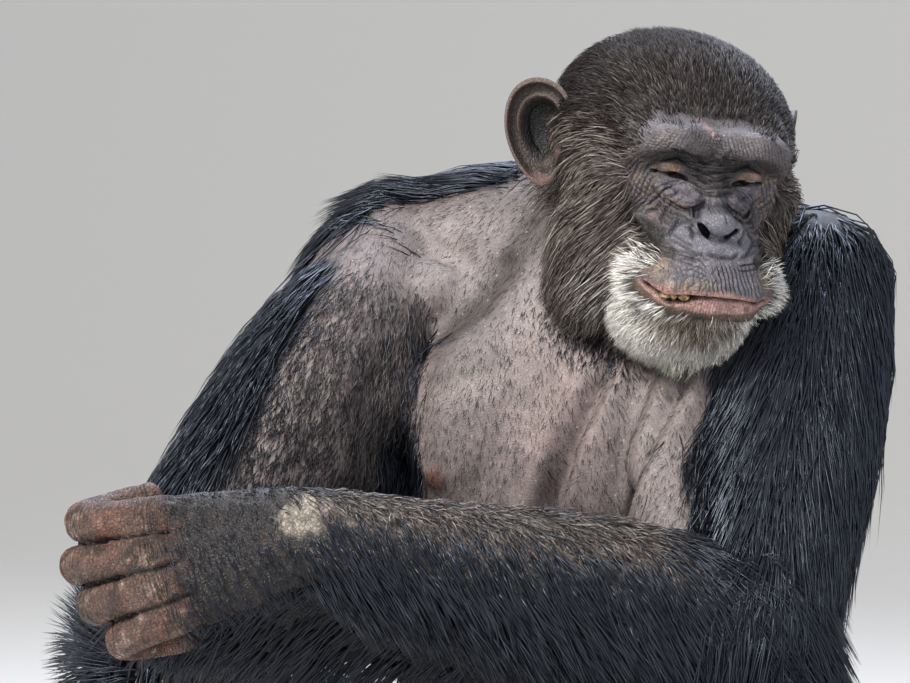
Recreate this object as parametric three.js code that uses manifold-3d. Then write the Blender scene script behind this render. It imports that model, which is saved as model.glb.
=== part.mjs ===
// A life-size adult chimpanzee sitting on the ground: knees drawn up, arms folded over them,
// head turned to its left. Millimetres, +Z up. It faces -Y and its left side is +X.
// The origin is the middle of the seat, on the ground.
import * as THREE from "three";
import { mergeVertices } from "three/addons/utils/BufferGeometryUtils.js";
import Module from "manifold-3d";

const wasm = await Module();
wasm.setup();

const point = (x, y, z) => new THREE.Vector3(x, y, z);

// Driving dimensions: where the joints of the skeleton are
const shoulderLeft = point(144, -30, 535);
const elbowLeft = point(172, -220, 332);
const wristLeft = point(-92, -308, 390);
const shoulderRight = point(-139, -26, 545);
const elbowRight = point(-198, -226, 362);
const wristRight = point(44, -176, 326);
const hipLeft = point(80, 12, 92);
const kneeLeft = point(112, -236, 232);
const ankleLeft = point(96, -384, 62);
const hipRight = point(-80, 12, 92);
const kneeRight = point(-268, -106, 288);
const ankleRight = point(-256, -178, 62);

// Where the head is, halfway between the ear openings, and how far it turns left, nods and leans, in degrees
const headPlace = point(65, -84, 610);
const headTurn = 36;
const headNod = 15;
const headLean = 7.5;
const eyePlace = point(26, -70, 21);
const eyeRadius = 10.5;
const lidThickness = 2.6;

// Fits between the nodes: the clearance that one cut leaves, and half the width of a cut at a joint
const clearance = 0.3;
const halfCut = 0.2;

const dark = 0x17171b;
const skinBrown = 0x5f5450;
const down = point(0, 0, -1);
const forward = point(0, -1, 0);

// Mulberry32: a seeded draw from 0 to 1, so the coat is the same in each run.
function seededDraw(seed) {
  let state = seed;
  return () => {
    state = (state + 0x6d2b79f5) | 0;
    let t = Math.imul(state ^ (state >>> 15), 1 | state);
    t = (t + Math.imul(t ^ (t >>> 7), 61 | t)) ^ t;
    return ((t ^ (t >>> 14)) >>> 0) / 4294967296;
  };
}

// Solids from geometry, and back
function volumeOf(positions, index) {
  let sum = 0;
  const at = (i) => point(positions[3 * i], positions[3 * i + 1], positions[3 * i + 2]);
  for (let i = 0; i < index.length; i += 3) {
    sum += at(index[i]).dot(at(index[i + 1]).cross(at(index[i + 2])));
  }
  return sum / 6;
}

function solid(geometry) {
  const bare = new THREE.BufferGeometry();
  bare.setAttribute("position", geometry.getAttribute("position"));
  if (geometry.index) bare.setIndex(geometry.index);
  const merged = mergeVertices(bare, 1e-3);
  const triVerts = new Uint32Array(merged.index.array);
  return new wasm.Manifold(
    new wasm.Mesh({ numProp: 3, vertProperties: merged.attributes.position.array, triVerts }),
  );
}

function geometryOf(manifold) {
  const mesh = manifold.getMesh();
  const geometry = new THREE.BufferGeometry();
  geometry.setAttribute("position", new THREE.BufferAttribute(mesh.vertProperties, 3));
  geometry.setIndex(new THREE.BufferAttribute(mesh.triVerts, 1));
  return geometry;
}

function joined(manifolds) {
  return manifolds.reduce((sum, next) => sum.add(next));
}

function largest(manifold) {
  return manifold.decompose().reduce((best, next) => (next.volume() > best.volume() ? next : best));
}

// A closed skin over rows of points from one pole to the other: at(u, v), with u along and v round.
function closedSkin(rows, sides, at) {
  const positions = [...at(0, 0).toArray()];
  for (let i = 1; i < rows; i++) {
    for (let j = 0; j < sides; j++) positions.push(...at(i / rows, j / sides).toArray());
  }
  positions.push(...at(1, 0).toArray());
  const id = (i, j) => 1 + (i - 1) * sides + (j % sides);
  const end = 1 + (rows - 1) * sides;
  const index = [];
  for (let j = 0; j < sides; j++) {
    index.push(0, id(1, j), id(1, j + 1));
    for (let i = 1; i < rows - 1; i++) {
      index.push(id(i, j), id(i + 1, j), id(i + 1, j + 1));
      index.push(id(i, j), id(i + 1, j + 1), id(i, j + 1));
    }
    index.push(id(rows - 1, j), end, id(rows - 1, j + 1));
  }
  if (volumeOf(positions, index) < 0) index.reverse();
  const geometry = new THREE.BufferGeometry();
  geometry.setAttribute("position", new THREE.Float32BufferAttribute(positions, 3));
  geometry.setIndex(index);
  return solid(geometry);
}

// A limb: an oval section [half width, half depth] carried along a smooth spine, with round ends.
// facing is the way its depth points. surface(u, v, grow) gives a point on it, and section(u) its section.
function limb({ spine, ovals, facing, rows = 11, sides = 12, ends = [1, 1], square = 1 }) {
  const curve = new THREE.CatmullRomCurve3(spine);
  const sizes = new THREE.CatmullRomCurve3(ovals.map(([w, d]) => point(w, d, 0)));
  const share = 0.2;
  const section = (u) => {
    const past = u < share ? 1 - u / share : u > 1 - share ? 1 - (1 - u) / share : 0;
    const t = Math.min(1, Math.max(0, (u - share) / (1 - 2 * share)));
    const along = curve.getTangent(t);
    const across = point(0, 0, 0).crossVectors(along, facing).normalize();
    const out = point(0, 0, 0).crossVectors(across, along).normalize();
    const size = sizes.getPoint(t);
    const reach = (Math.sin((past * Math.PI) / 2) * (size.x + size.y)) / 2;
    const sign = u < 0.5 ? -ends[0] : ends[1];
    const middle = curve.getPoint(t).addScaledVector(along, sign * reach);
    return { middle, along, across, out, size, shrink: Math.cos((past * Math.PI) / 2), sign, past };
  };
  const surface = (u, v, grow = 0) => {
    const s = section(u);
    const a = v * 2 * Math.PI;
    const c = Math.sign(Math.cos(a)) * Math.abs(Math.cos(a)) ** square;
    const d = Math.sign(Math.sin(a)) * Math.abs(Math.sin(a)) ** square;
    const further = s.past > 0 ? Math.sign(s.sign) * s.past * grow : 0;
    const place = s.middle.clone().addScaledVector(s.along, further);
    place.addScaledVector(s.across, c * s.shrink * (s.size.x + grow));
    return place.addScaledVector(s.out, d * s.shrink * (s.size.y + grow));
  };
  return {
    surface,
    section,
    body: (grow) => closedSkin(rows, sides, (u, v) => surface(u, v, grow)),
  };
}

// An egg: an ellipsoid whose three half axes lie along a frame turned by the angles given, in degrees.
function egg({ at, size, turn = [0, 0, 0], rows = 7, sides = 10 }) {
  const rotation = new THREE.Euler(...turn.map((t) => THREE.MathUtils.degToRad(t)));
  return (grow) =>
    closedSkin(rows, sides, (u, v) => {
      const around = v * 2 * Math.PI;
      const radial = Math.sin(u * Math.PI);
      const p = point(
        (size[0] + grow) * radial * Math.cos(around),
        (size[1] + grow) * radial * Math.sin(around),
        (size[2] + grow) * Math.cos(u * Math.PI),
      );
      return p.applyEuler(rotation).add(at);
    });
}

// All that lies beyond a plane, as one large box.
function beyond(place, normal) {
  const side = 3000;
  const box = new THREE.BoxGeometry(side, side, side);
  box.translate(0, 0, side / 2);
  const up = point(0, 0, 1);
  box.applyQuaternion(new THREE.Quaternion().setFromUnitVectors(up, normal.clone().normalize()));
  box.translate(place.x, place.y, place.z);
  return solid(box);
}

// A lock of hair: a flat, tapered blade with four edges, that leaves its root, bends into the lie and hangs.
function lock({ root, out, lie, length, width, depth = 7, rise = 8, sag = 0, sink = 9 }, grow) {
  const across = point(0, 0, 0).crossVectors(lie, out).normalize();
  const stations = [
    [-0.06, -sink, 0.75, 1],
    [0.32, rise, 1, 0.95],
    [0.7, rise * 0.9, 0.72, 0.7],
    [1, rise * 0.35, 0, 0],
  ];
  const positions = [];
  for (const [share, lift, wide, deep] of stations) {
    const middle = root.clone().addScaledVector(lie, share * length + (share === 1 ? 2 * grow : 0));
    middle.addScaledVector(out, lift).addScaledVector(down, sag * share * share);
    if (wide === 0) {
      positions.push(...middle.toArray());
      continue;
    }
    const halfWidth = (wide * width) / 2 + grow;
    const halfDepth = (deep * depth) / 2 + grow;
    for (let k = 0; k < 4; k++) {
      const a = (k * Math.PI) / 2;
      const corner = middle.clone().addScaledVector(across, Math.cos(a) * halfWidth);
      positions.push(...corner.addScaledVector(out, Math.sin(a) * halfDepth).toArray());
    }
  }
  const index = [0, 1, 2, 0, 2, 3];
  for (let i = 0; i < 2; i++) {
    for (let k = 0; k < 4; k++) {
      const [a, b] = [4 * i + k, 4 * i + ((k + 1) % 4)];
      index.push(a, a + 4, b + 4, a, b + 4, b);
    }
  }
  for (let k = 0; k < 4; k++) index.push(8 + k, 12, 8 + ((k + 1) % 4));
  if (volumeOf(positions, index) < 0) index.reverse();
  const geometry = new THREE.BufferGeometry();
  geometry.setAttribute("position", new THREE.Float32BufferAttribute(positions, 3));
  geometry.setIndex(index);
  return solid(geometry);
}

// Locks in staggered rows over a limb: u runs from[0] to to[0] and v from[1] to to[1].
// towards gives the lie there.
function rowsOfLocks(part, { from, to, rows, perRow, length, width, towards, seed, ...rest }) {
  const draw = seededDraw(seed);
  const locks = [];
  for (let i = 0; i < rows; i++) {
    for (let j = 0; j < perRow; j++) {
      const u = from[0] + ((to[0] - from[0]) * (i + 0.3 * (draw() - 0.5))) / Math.max(1, rows - 1);
      const stagger = (i % 2) * 0.5 + 0.35 * (draw() - 0.5);
      const v = from[1] + ((to[1] - from[1]) * (j + 0.25 + stagger)) / perRow;
      const root = part.surface(u, v);
      const out = root.clone().sub(part.section(u).middle).normalize();
      const lie = towards(out, root);
      lie.addScaledVector(out, -lie.dot(out)).normalize();
      lie.addScaledVector(point(0, 0, 0).crossVectors(lie, out), 0.3 * (draw() - 0.5)).normalize();
      const reach = length * (0.85 + 0.3 * draw());
      const spread = width * (0.9 + 0.2 * draw());
      locks.push({ root, out, lie, length: reach, width: spread, sag: 0.22 * reach, ...rest });
    }
  }
  return locks;
}

// The limbs of the trunk
const torso = limb({
  spine: [point(0, 22, 70), point(0, 16, 150), point(0, 2, 250), point(0, -18, 350), point(0, -30, 430),
    point(0, -28, 500), point(0, -26, 545)],
  ovals: [[112, 88], [122, 106], [130, 118], [138, 118], [144, 110], [128, 90], [96, 66]],
  facing: forward,
  rows: 14,
  sides: 18,
  ends: [0.75, 0.5],
  square: 0.92,
});
const yoke = limb({
  spine: [shoulderRight.clone().add(point(8, 6, -4)), point(-78, -16, 556), point(0, -14, 560),
    point(78, -18, 546), shoulderLeft.clone().add(point(-8, 6, -4))],
  ovals: [[46, 46], [56, 48], [66, 52], [56, 48], [46, 46]],
  facing: point(0, 0, 1),
  rows: 11,
  sides: 10,
});
const chestLobes = [
  egg({ at: point(-42, -96, 446), size: [60, 42, 74], turn: [-8, 0, 14] }),
  egg({ at: point(42, -102, 428), size: [54, 46, 80], turn: [-6, 0, -8] }),
];
const nipples = [
  egg({ at: point(-70, -134, 410), size: [9, 12, 10], turn: [20, 0, 0], rows: 4, sides: 6 }),
  egg({ at: point(58, -142, 388), size: [7, 10, 8], turn: [20, 0, 0], rows: 4, sides: 6 }),
];
const rump = [
  egg({ at: point(-62, 38, 66), size: [66, 66, 72] }),
  egg({ at: point(62, 38, 66), size: [66, 66, 72] }),
];
const neck = limb({
  spine: [point(8, -26, 540), point(34, -46, 576), point(60, -70, 604)],
  ovals: [[74, 70], [62, 62], [58, 60]],
  facing: forward,
  rows: 8,
  sides: 12,
  ends: [0.4, 0.3],
});

// Arms and legs: [half width, half depth] from the upper joint to the lower one
function between(start, end, ovals, facing, bow = point(0, 0, 0), ends = [1, 1]) {
  const spine = ovals.map((_, i) => {
    const t = i / (ovals.length - 1);
    return start.clone().lerp(end, t).addScaledVector(bow, Math.sin(t * Math.PI));
  });
  return limb({ spine, ovals, facing, ends });
}
const upperArmOvals = [[48, 48], [54, 53], [54, 52], [49, 48], [43, 44]];
const bareArmOvals = [[46, 48], [57, 54], [61, 56], [56, 52], [46, 46]];
const forearmOvals = [[42, 44], [46, 44], [40, 38], [32, 29], [29, 23]];
const thighOvals = [[82, 80], [80, 78], [70, 70], [60, 60], [51, 52]];
const shinOvals = [[48, 50], [46, 52], [40, 44], [32, 34], [29, 32]];
const upperArmLeft = between(shoulderLeft, elbowLeft, upperArmOvals, forward);
const upperArmRight = between(shoulderRight, elbowRight, bareArmOvals, forward, point(8, 0, 0));
const forearmLeft = between(elbowLeft, wristLeft, forearmOvals, forward, point(0, 0, 5), [0.95, 0.5]);
const forearmRight = between(elbowRight, wristRight, forearmOvals, forward, point(0, 0, -4), [0.95, 0.5]);
const thighLeft = between(hipLeft, kneeLeft, thighOvals, point(0, 0, 1));
const thighRight = between(hipRight, kneeRight, thighOvals, point(0, 0, 1));
const shinLeft = between(kneeLeft, ankleLeft, shinOvals, forward, point(0, 6, -6));
const shinRight = between(kneeRight, ankleRight, shinOvals, forward, point(0, 10, 0));

// The bare inner side of the left upper arm, which bulges beside the chest
const innerArm = limb({
  spine: [point(100, -92, 492), point(98, -140, 432), point(116, -192, 376)],
  ovals: [[30, 34], [33, 36], [34, 34]],
  facing: forward,
  rows: 8,
  sides: 10,
});

// A finger or toe: a chain of bones from its knuckle, each bent on by its own angle, in degrees.
function digit({ start, heading, hinge, bones, bends, radii, rows = 10, sides = 6 }) {
  const spine = [start.clone().addScaledVector(heading, -10), start.clone()];
  const way = heading.clone();
  bones.forEach((bone, i) => {
    way.applyAxisAngle(hinge, THREE.MathUtils.degToRad(bends[i]));
    spine.push(spine[spine.length - 1].clone().addScaledVector(way, bone));
  });
  const ovals = [radii[0], ...radii].map((r) => [r * 0.94, r]);
  return limb({ spine, ovals, facing: hinge, rows, sides, ends: [0.4, 0.9] });
}

// A hand: along points from wrist to knuckles, back is the way its back faces, and across runs
// from the index finger to the little one. The thumb lies behind the palm.
const palmLength = 98;
const fingerGap = 21;
function hand({ wrist, along, back, across, bends, thumbBends, rows = 9, sides = 6 }) {
  const hinge = across.clone();
  const curl = point(0, 0, 0).crossVectors(hinge, along).dot(back) > 0 ? -1 : 1;
  const palm = limb({
    spine: [0, 0.35, 0.7, 1].map((t) => wrist.clone().addScaledVector(along, t * palmLength)),
    ovals: [[30, 22], [36, 19], [41, 17], [42, 14]],
    facing: back,
    rows: 10,
    sides: 12,
    ends: [0.5, 0.6],
  });
  const fingers = [0, 1, 2, 3].map((k) => {
    const heading = along.clone().addScaledVector(across, 0.09 * (k - 1.5)).normalize();
    const reach = palmLength - 6 - 5 * Math.abs(k - 1.2);
    const start = wrist.clone().addScaledVector(along, reach).addScaledVector(across, fingerGap * (k - 1.5));
    const scale = [0.94, 1.02, 0.98, 0.84][k];
    return digit({
      start: start.addScaledVector(back, 2),
      heading,
      hinge,
      bones: [54, 38, 24].map((b) => b * scale),
      bends: bends.map((b) => b * curl),
      radii: [12.5, 12.6, 11.6, 9.5].map((r) => r * (k === 3 ? 0.92 : 1)),
      rows,
      sides,
    });
  });
  const thumbHeading = along.clone().multiplyScalar(0.85).addScaledVector(across, -0.1);
  const thumb = digit({
    start: wrist.clone().addScaledVector(along, 36).addScaledVector(across, -14).addScaledVector(back, -16),
    heading: thumbHeading.addScaledVector(back, -0.5).normalize(),
    hinge,
    bones: [26, 24],
    bends: thumbBends.map((b) => b * curl),
    radii: [11, 10.5, 9],
    rows: 8,
  });
  return { palm, digits: [...fingers, thumb] };
}

const handLeftAlong = point(-0.93, -0.29, -0.23).normalize();
const handLeftBack = point(0.28, -0.95, 0.1).normalize();
const handLeft = hand({
  wrist: wristLeft,
  along: handLeftAlong,
  back: handLeftBack,
  across: point(0, 0, 0).crossVectors(handLeftBack, handLeftAlong).normalize(),
  bends: [22, 96, 52],
  thumbBends: [20, 25],
  rows: 10,
  sides: 6,
});
const handRightAlong = point(0.86, 0.12, -0.5).normalize();
const handRightBack = point(0.36, -0.55, 0.75).normalize();
const handRight = hand({
  wrist: wristRight,
  along: handRightAlong,
  back: handRightBack.addScaledVector(handRightAlong, -handRightBack.dot(handRightAlong)).normalize(),
  across: point(0, 0, 0).crossVectors(handRightAlong, handRightBack).normalize(),
  bends: [28, 34, 20],
  thumbBends: [15, 15],
  rows: 7,
  sides: 5,
});

// A foot flat on the ground: heading is from heel to toes, and inner the way to the other foot.
function foot({ ankle, heading, inner }) {
  const at = (ahead, in_, up) =>
    point(ankle.x, ankle.y, up).addScaledVector(heading, ahead).addScaledVector(inner, in_);
  const sole = limb({
    spine: [at(-34, 0, 26), at(0, 0, 28), at(45, 1, 24), at(92, 2, 17), at(116, 2, 13)],
    ovals: [[27, 27], [30, 36], [36, 29], [40, 20], [40, 16]],
    facing: point(0, 0, 1),
    rows: 9,
    sides: 9,
    ends: [0.8, 0.5],
  });
  const hinge = inner.clone();
  const turnDown = point(0, 0, 0).crossVectors(hinge, heading).z > 0 ? -1 : 1;
  const toes = [0, 1, 2, 3].map((k) =>
    digit({
      start: at(112 - 5 * Math.abs(k - 0.8), 28 - 19 * k, 17),
      heading: heading.clone().addScaledVector(inner, 0.05 * (1.5 - k)).normalize(),
      hinge,
      bones: [26, 20, 13].map((b) => b * (k === 3 ? 0.86 : 1)),
      bends: [-8, 26, 22].map((b) => b * turnDown),
      radii: [10.5, 10, 9, 8],
      rows: 6,
      sides: 5,
    }),
  );
  const bigToe = digit({
    start: at(34, 30, 17),
    heading: heading.clone().multiplyScalar(0.72).addScaledVector(inner, 0.69).normalize(),
    hinge,
    bones: [34, 26],
    bends: [0, 12].map((b) => b * turnDown),
    radii: [15, 13.5, 11],
    rows: 7,
  });
  return { palm: sole, digits: [...toes, bigToe] };
}
const footLeft = foot({
  ankle: ankleLeft,
  heading: point(0.1, -1, 0).normalize(),
  inner: point(-1, -0.1, 0).normalize(),
});
const footRight = foot({
  ankle: ankleRight,
  heading: point(-0.3, -0.95, 0).normalize(),
  inner: point(0.95, -0.3, 0).normalize(),
});

// The head, in its own frame: x to its left, -y to the front, z up, from halfway between the ear openings
const headFrame = new THREE.Matrix4()
  .makeRotationFromEuler(
    new THREE.Euler(...[headNod, headLean, headTurn].map((t) => THREE.MathUtils.degToRad(t)), "ZXY"),
  )
  .setPosition(headPlace);
const skullMiddle = point(0, -40, -5);
const faceAxis = point(0, -0.94, -0.34).normalize();

// The forms that the head is blended from: an egg or a bar with its radius, and how softly it
// joins the rest, in mm. The brows hang on a root bar that lies half in the skull.
const headForms = [
  { egg: [0, 4, 24], size: [74, 78, 59], soft: 0 },
  { egg: [0, -50, -4], size: [57, 38, 44], soft: 18 },
  { egg: [47, -54, 4], size: [20, 22, 16], soft: 12, pair: true },
  { egg: [0, -90, -36], size: [47, 46, 33], soft: 14 },
  { egg: [0, -84, -68], size: [39, 38, 24], soft: 12 },
  { egg: [44, -34, -42], size: [24, 38, 38], soft: 18, pair: true },
  { egg: [0, -40, -40], size: [46, 50, 36], soft: 14 },
  { bar: [[0, -64, 38], [38, -56, 38]], radius: 14, soft: 12, pair: true },
  { bar: [[0, -82, 39], [26, -87, 43.5]], radius: 8.5, soft: 6, pair: true },
  { bar: [[26, -87, 43.5], [49, -74, 33]], radius: 7.5, soft: 6, pair: true },
  { bar: [[0, -78, 20], [0, -101, 3]], radius: 8.5, soft: 8 },
  { bar: [[12, -98, 1], [26, -100, -14]], radius: 7, soft: 8, pair: true },
  { egg: [0, -112, -2], size: [12, 11, 9.5], soft: 4 },
  { egg: [14, -109, -5], size: [7, 9, 8.5], soft: 3, pair: true },
  { bar: [[0, -132, -38], [24, -127, -40]], radius: 7, soft: 7, pair: true },
  { bar: [[24, -127, -40], [42, -108, -42]], radius: 6, soft: 7, pair: true },
  { bar: [[0, -131, -52], [24, -125, -52]], radius: 6.5, soft: 6, pair: true },
  { bar: [[24, -125, -52], [42, -106, -48]], radius: 5.5, soft: 6, pair: true },
];

function distanceToForm(form, p) {
  const x = form.pair ? Math.abs(p.x) : p.x;
  if (form.bar) {
    const [a, b] = form.bar.map((c) => point(...c));
    const along = b.clone().sub(a);
    const q = point(x, p.y, p.z).sub(a);
    const t = Math.min(1, Math.max(0, q.dot(along) / along.lengthSq()));
    return q.addScaledVector(along, -t).length() - form.radius;
  }
  const q = [x - form.egg[0], p.y - form.egg[1], p.z - form.egg[2]];
  const near = Math.hypot(...q.map((c, i) => c / form.size[i]));
  const far = Math.hypot(...q.map((c, i) => c / form.size[i] ** 2));
  return far === 0 ? -Math.min(...form.size) : (near * (near - 1)) / far;
}

// The smooth union of the forms: below 0 inside the head, above 0 outside.
function headDistance(p) {
  let d = Infinity;
  for (const form of headForms) {
    const next = distanceToForm(form, p);
    if (d === Infinity) {
      d = next;
      continue;
    }
    const near = Math.max(form.soft - Math.abs(d - next), 0) / form.soft;
    d = Math.min(d, next) - (near * near * form.soft) / 4;
  }
  return d;
}

// Where a ray from the middle of the skull leaves the head, grown by that much.
function headSurface(direction, grow = 0) {
  let reach = 10;
  for (let i = 0; i < 60; i++) {
    const d = headDistance(skullMiddle.clone().addScaledVector(direction, reach)) - grow;
    if (d > -0.02) break;
    reach -= 0.8 * d;
  }
  return skullMiddle.clone().addScaledVector(direction, reach);
}

// A direction from its angles: turned to its left, and raised, in degrees.
function aim(left, up) {
  const [a, e] = [left, up].map((t) => THREE.MathUtils.degToRad(t));
  return point(Math.sin(a) * Math.cos(e), -Math.cos(a) * Math.cos(e), Math.sin(e));
}

// Rings round the axis of the face, close together over the muzzle, wide apart over the back of the skull
function headSkin(grow) {
  const turned = new THREE.Quaternion().setFromUnitVectors(point(0, 0, 1), faceAxis);
  return closedSkin(23, 24, (u, v) => {
    const open = Math.PI * (0.55 * u + 0.45 * u ** 3);
    const round = v * 2 * Math.PI;
    const wide = Math.sin(open);
    const direction = point(wide * Math.cos(round), wide * Math.sin(round), Math.cos(open));
    return headSurface(direction.applyQuaternion(turned), grow);
  });
}

const mirrored = (p, side) => point(p.x * side, p.y, p.z);
const sides = [
  ["left", 1],
  ["right", -1],
];

// Half-closed eyes: a ball of lid round each eyeball, opened by a narrow slit that looks down
const slitSize = [10.5, 7, 1.7];
function lids(side) {
  const radius = eyeRadius + lidThickness;
  return egg({ at: mirrored(eyePlace, side), size: [radius, radius, radius], rows: 6, sides: 9 });
}
function lidSlit(side) {
  const at = mirrored(eyePlace, side).add(point(0, -10, -3.6));
  return egg({ at, size: slitSize, turn: [16, 0, 0], rows: 4, sides: 8 });
}

// The line of the mouth, as a thin tube sunk in the lips from corner to corner, and the gap by the side teeth
const mouthAngles = [-31, -25, -14, 0, 14, 25, 31];
const mouthRaise = [-24.8, -26.2, -23.6, -21.6, -22.8, -24.5, -26];
function mouthLine() {
  const spine = mouthAngles.map((a, i) => headSurface(aim(a, mouthRaise[i])));
  const ovals = mouthAngles.map((a) => [9, Math.abs(a) > 30 ? 0.9 : 1.3]);
  return limb({ spine, ovals, facing: point(0, 0, 1), rows: 10, sides: 4, ends: [0.3, 0.3] });
}
const toothGapCut = egg({
  at: point(-21.5, -132, -47), size: [12, 13, 3.6], turn: [0, 5, -24], rows: 4, sides: 8,
});
const tooth = (place, size, turn) => egg({ at: place, size, turn: [0, 0, turn], rows: 4, sides: 6 });
const teethForms = [
  tooth(point(-28, -125.5, -47.6), [3.8, 3.2, 2.6], -32),
  tooth(point(-23.6, -128.6, -47.2), [3.8, 3.2, 3.2], -28),
  tooth(point(-18.8, -130.8, -46.4), [3.8, 3.2, 2.6], -20),
];
const teeth = (grow) => joined(teethForms.map((form) => form(grow)));

const nostril = (side) =>
  egg({
    at: point(side * 9.5, -119, -5.5), size: [3.6, 7, 5.4], turn: [-10, side * 36, side * 14],
    rows: 4, sides: 6,
  });

function headBase(grow) {
  const lidded = joined([headSkin(grow), ...sides.map(([, side]) => lids(side)(grow))]);
  if (grow > 0) return lidded;
  const cuts = [mouthLine().body(0), toothGapCut(0), teeth(clearance)];
  for (const [, side] of sides) cuts.push(lidSlit(side)(0), eyeball(side)(clearance), nostril(side)(0));
  return lidded.subtract(joined(cuts));
}

function eyeball(side) {
  return egg({ at: mirrored(eyePlace, side), size: [eyeRadius, eyeRadius, eyeRadius], rows: 6, sides: 9 });
}

// An ear: a bowl turned on its axis, drawn out to an oval, wider above. Its mouth faces forward and
// outward, and the left one lies closer to the head.
const earPlace = { 1: point(80, 14, 10), "-1": point(-86, 10, 11) };
const earHalfWidth = 22;
const earHalfHeight = 34;
const earFlare = { 1: 66, "-1": 36 };
function ear(side) {
  const back = [[0, -13], [0.5, -12], [0.84, -7.5], [1, -0.5]];
  const cup = [[0.96, 1.6], [0.86, 0.6], [0.7, -4.5], [0.4, -8.6], [0, -9.4]];
  const profile = [...back, ...cup];
  const bowl = new THREE.LatheGeometry(profile.map(([r, h]) => new THREE.Vector2(r, h)), 14);
  bowl.scale(earHalfWidth, 1, earHalfHeight);
  const place = bowl.getAttribute("position");
  for (let i = 0; i < place.count; i++) {
    const height = place.getZ(i) / earHalfHeight;
    place.setX(i, place.getX(i) * (1 + 0.14 * height));
    place.setY(i, -place.getY(i));
  }
  bowl.scale(side, 1, 1);
  bowl.rotateY(THREE.MathUtils.degToRad(side * 6));
  bowl.rotateZ(THREE.MathUtils.degToRad(side * earFlare[side]));
  bowl.translate(...earPlace[side].toArray());
  const index = Array.from(bowl.index.array);
  if (volumeOf(place.array, index) < 0) bowl.setIndex(index.reverse());
  return solid(bowl);
}

// The coat of the head: white locks round the chin, dark ones down the cheeks, over the crown and nape
function headLocks({ from, to, rows, perRow, length, width, depth, rise, towards, seed }) {
  const draw = seededDraw(seed);
  const locks = [];
  for (let i = 0; i < rows; i++) {
    for (let j = 0; j < perRow; j++) {
      const step = (j + 0.5 + 0.5 * (i % 2) + 0.3 * (draw() - 0.5)) / perRow;
      const left = from[0] + (to[0] - from[0]) * step;
      const up = from[1] + ((to[1] - from[1]) * (i + 0.25 * (draw() - 0.5))) / Math.max(1, rows - 1);
      const direction = aim(left, up);
      const root = headSurface(direction);
      const lie = towards(root, direction);
      lie.addScaledVector(direction, -lie.dot(direction)).normalize();
      const reach = length * (0.85 + 0.3 * draw());
      locks.push({ root, out: direction, lie, length: reach, width, depth, rise, sink: 5 });
    }
  }
  return locks;
}
const beardLie = (root) => point(0.35 * Math.sign(root.x) * Math.min(1, Math.abs(root.x) / 30), 0.1, -1);
const beard = headLocks({
  from: [-72, -36], to: [60, -54], rows: 2, perRow: 5, length: 38, width: 24, depth: 6, rise: 6,
  towards: beardLie, seed: 11,
});
const cheekLocks = sides.flatMap(([, side]) =>
  headLocks({
    from: [side * 66, -4], to: [side * 112, -34], rows: 2, perRow: 1, length: 46, width: 44, depth: 7,
    rise: 7, towards: () => point(side * 0.3, 0.4, -1), seed: 20 + side,
  }),
);
const crownLocks = headLocks({
  from: [68, 58], to: [292, 6], rows: 2, perRow: 3, length: 46, width: 52, depth: 7, rise: 4,
  towards: () => point(0, 1, -0.5), seed: 31,
});

// Cuts at the joints: each keeps what lies before its plane, or past it
const bisector = (a, b, c) => b.clone().sub(a).normalize().add(c.clone().sub(b).normalize()).normalize();
const elbowWay = {
  left: bisector(shoulderLeft, elbowLeft, wristLeft),
  right: bisector(shoulderRight, elbowRight, wristRight),
};
const kneeWay = {
  left: bisector(hipLeft, kneeLeft, ankleLeft),
  right: bisector(hipRight, kneeRight, ankleRight),
};
const wristWay = {
  left: wristLeft.clone().sub(elbowLeft).normalize().add(handLeftAlong).normalize(),
  right: wristRight.clone().sub(elbowRight).normalize().add(handRightAlong).normalize(),
};
const shoulderWay = { left: point(1, 0, -0.35).normalize(), right: point(-1, 0, -0.35).normalize() };
const shoulderCut = { left: point(112, -30, 535), right: point(-112, -26, 553) };
const waist = point(0, 0, 205);
const ankleCut = {
  left: ankleLeft.clone().add(point(0, 0, 6)),
  right: ankleRight.clone().add(point(0, 0, 6)),
};

const before = (place, way) => (manifold, grow) =>
  manifold.subtract(beyond(place.clone().addScaledVector(way, grow - halfCut), way));
const past = (place, way) => (manifold, grow) =>
  manifold.subtract(beyond(place.clone().addScaledVector(way, halfCut - grow), way.clone().negate()));
const onGround = (manifold) => manifold.subtract(beyond(point(0, 0, 0), down));
const trimmed = (manifold, grow, cuts) => cuts.reduce((sum, cut) => cut(sum, grow), manifold);

function chestBase(grow) {
  let bar = yoke.body(grow);
  for (const [name] of sides) bar = before(shoulderCut[name], shoulderWay[name])(bar, grow);
  const front = [...chestLobes, ...nipples].map((form) => form(grow));
  return trimmed(joined([torso.body(grow), bar, ...front]), grow, [past(waist, point(0, 0, 1))]);
}
function pelvisBase(grow) {
  const all = joined([torso.body(grow), ...rump.map((e) => e(grow))]);
  return trimmed(all, grow, [before(waist, point(0, 0, 1)), onGround]);
}
const limbBase = (part, cuts) => (grow) => trimmed(part.body(grow), grow, cuts);
const armLeftBase = (cuts) => (grow) =>
  trimmed(upperArmLeft.body(grow).add(innerArm.body(grow)), grow, cuts);
const handBase = (parts, cuts) => (grow) =>
  trimmed(joined([parts.palm.body(grow), ...parts.digits.map((d) => d.body(grow))]), grow, cuts);

// Which way the coat lies: down the trunk, down the upper arm and leg, and up the forearm towards the elbow
const mixed = (...ways) => () =>
  ways.reduce((sum, [way, share]) => sum.addScaledVector(way, share), point(0, 0, 0));
const wayOf = (start, end) => end.clone().sub(start).normalize();
const backLie = (out, root) =>
  point(0.35 * Math.sign(root.x) * Math.min(1, Math.abs(root.x) / 80), 0.1, -1);
const capeLie = (out, root) => point(Math.sign(root.x) * 0.9, 0.5, -0.8);

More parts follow.
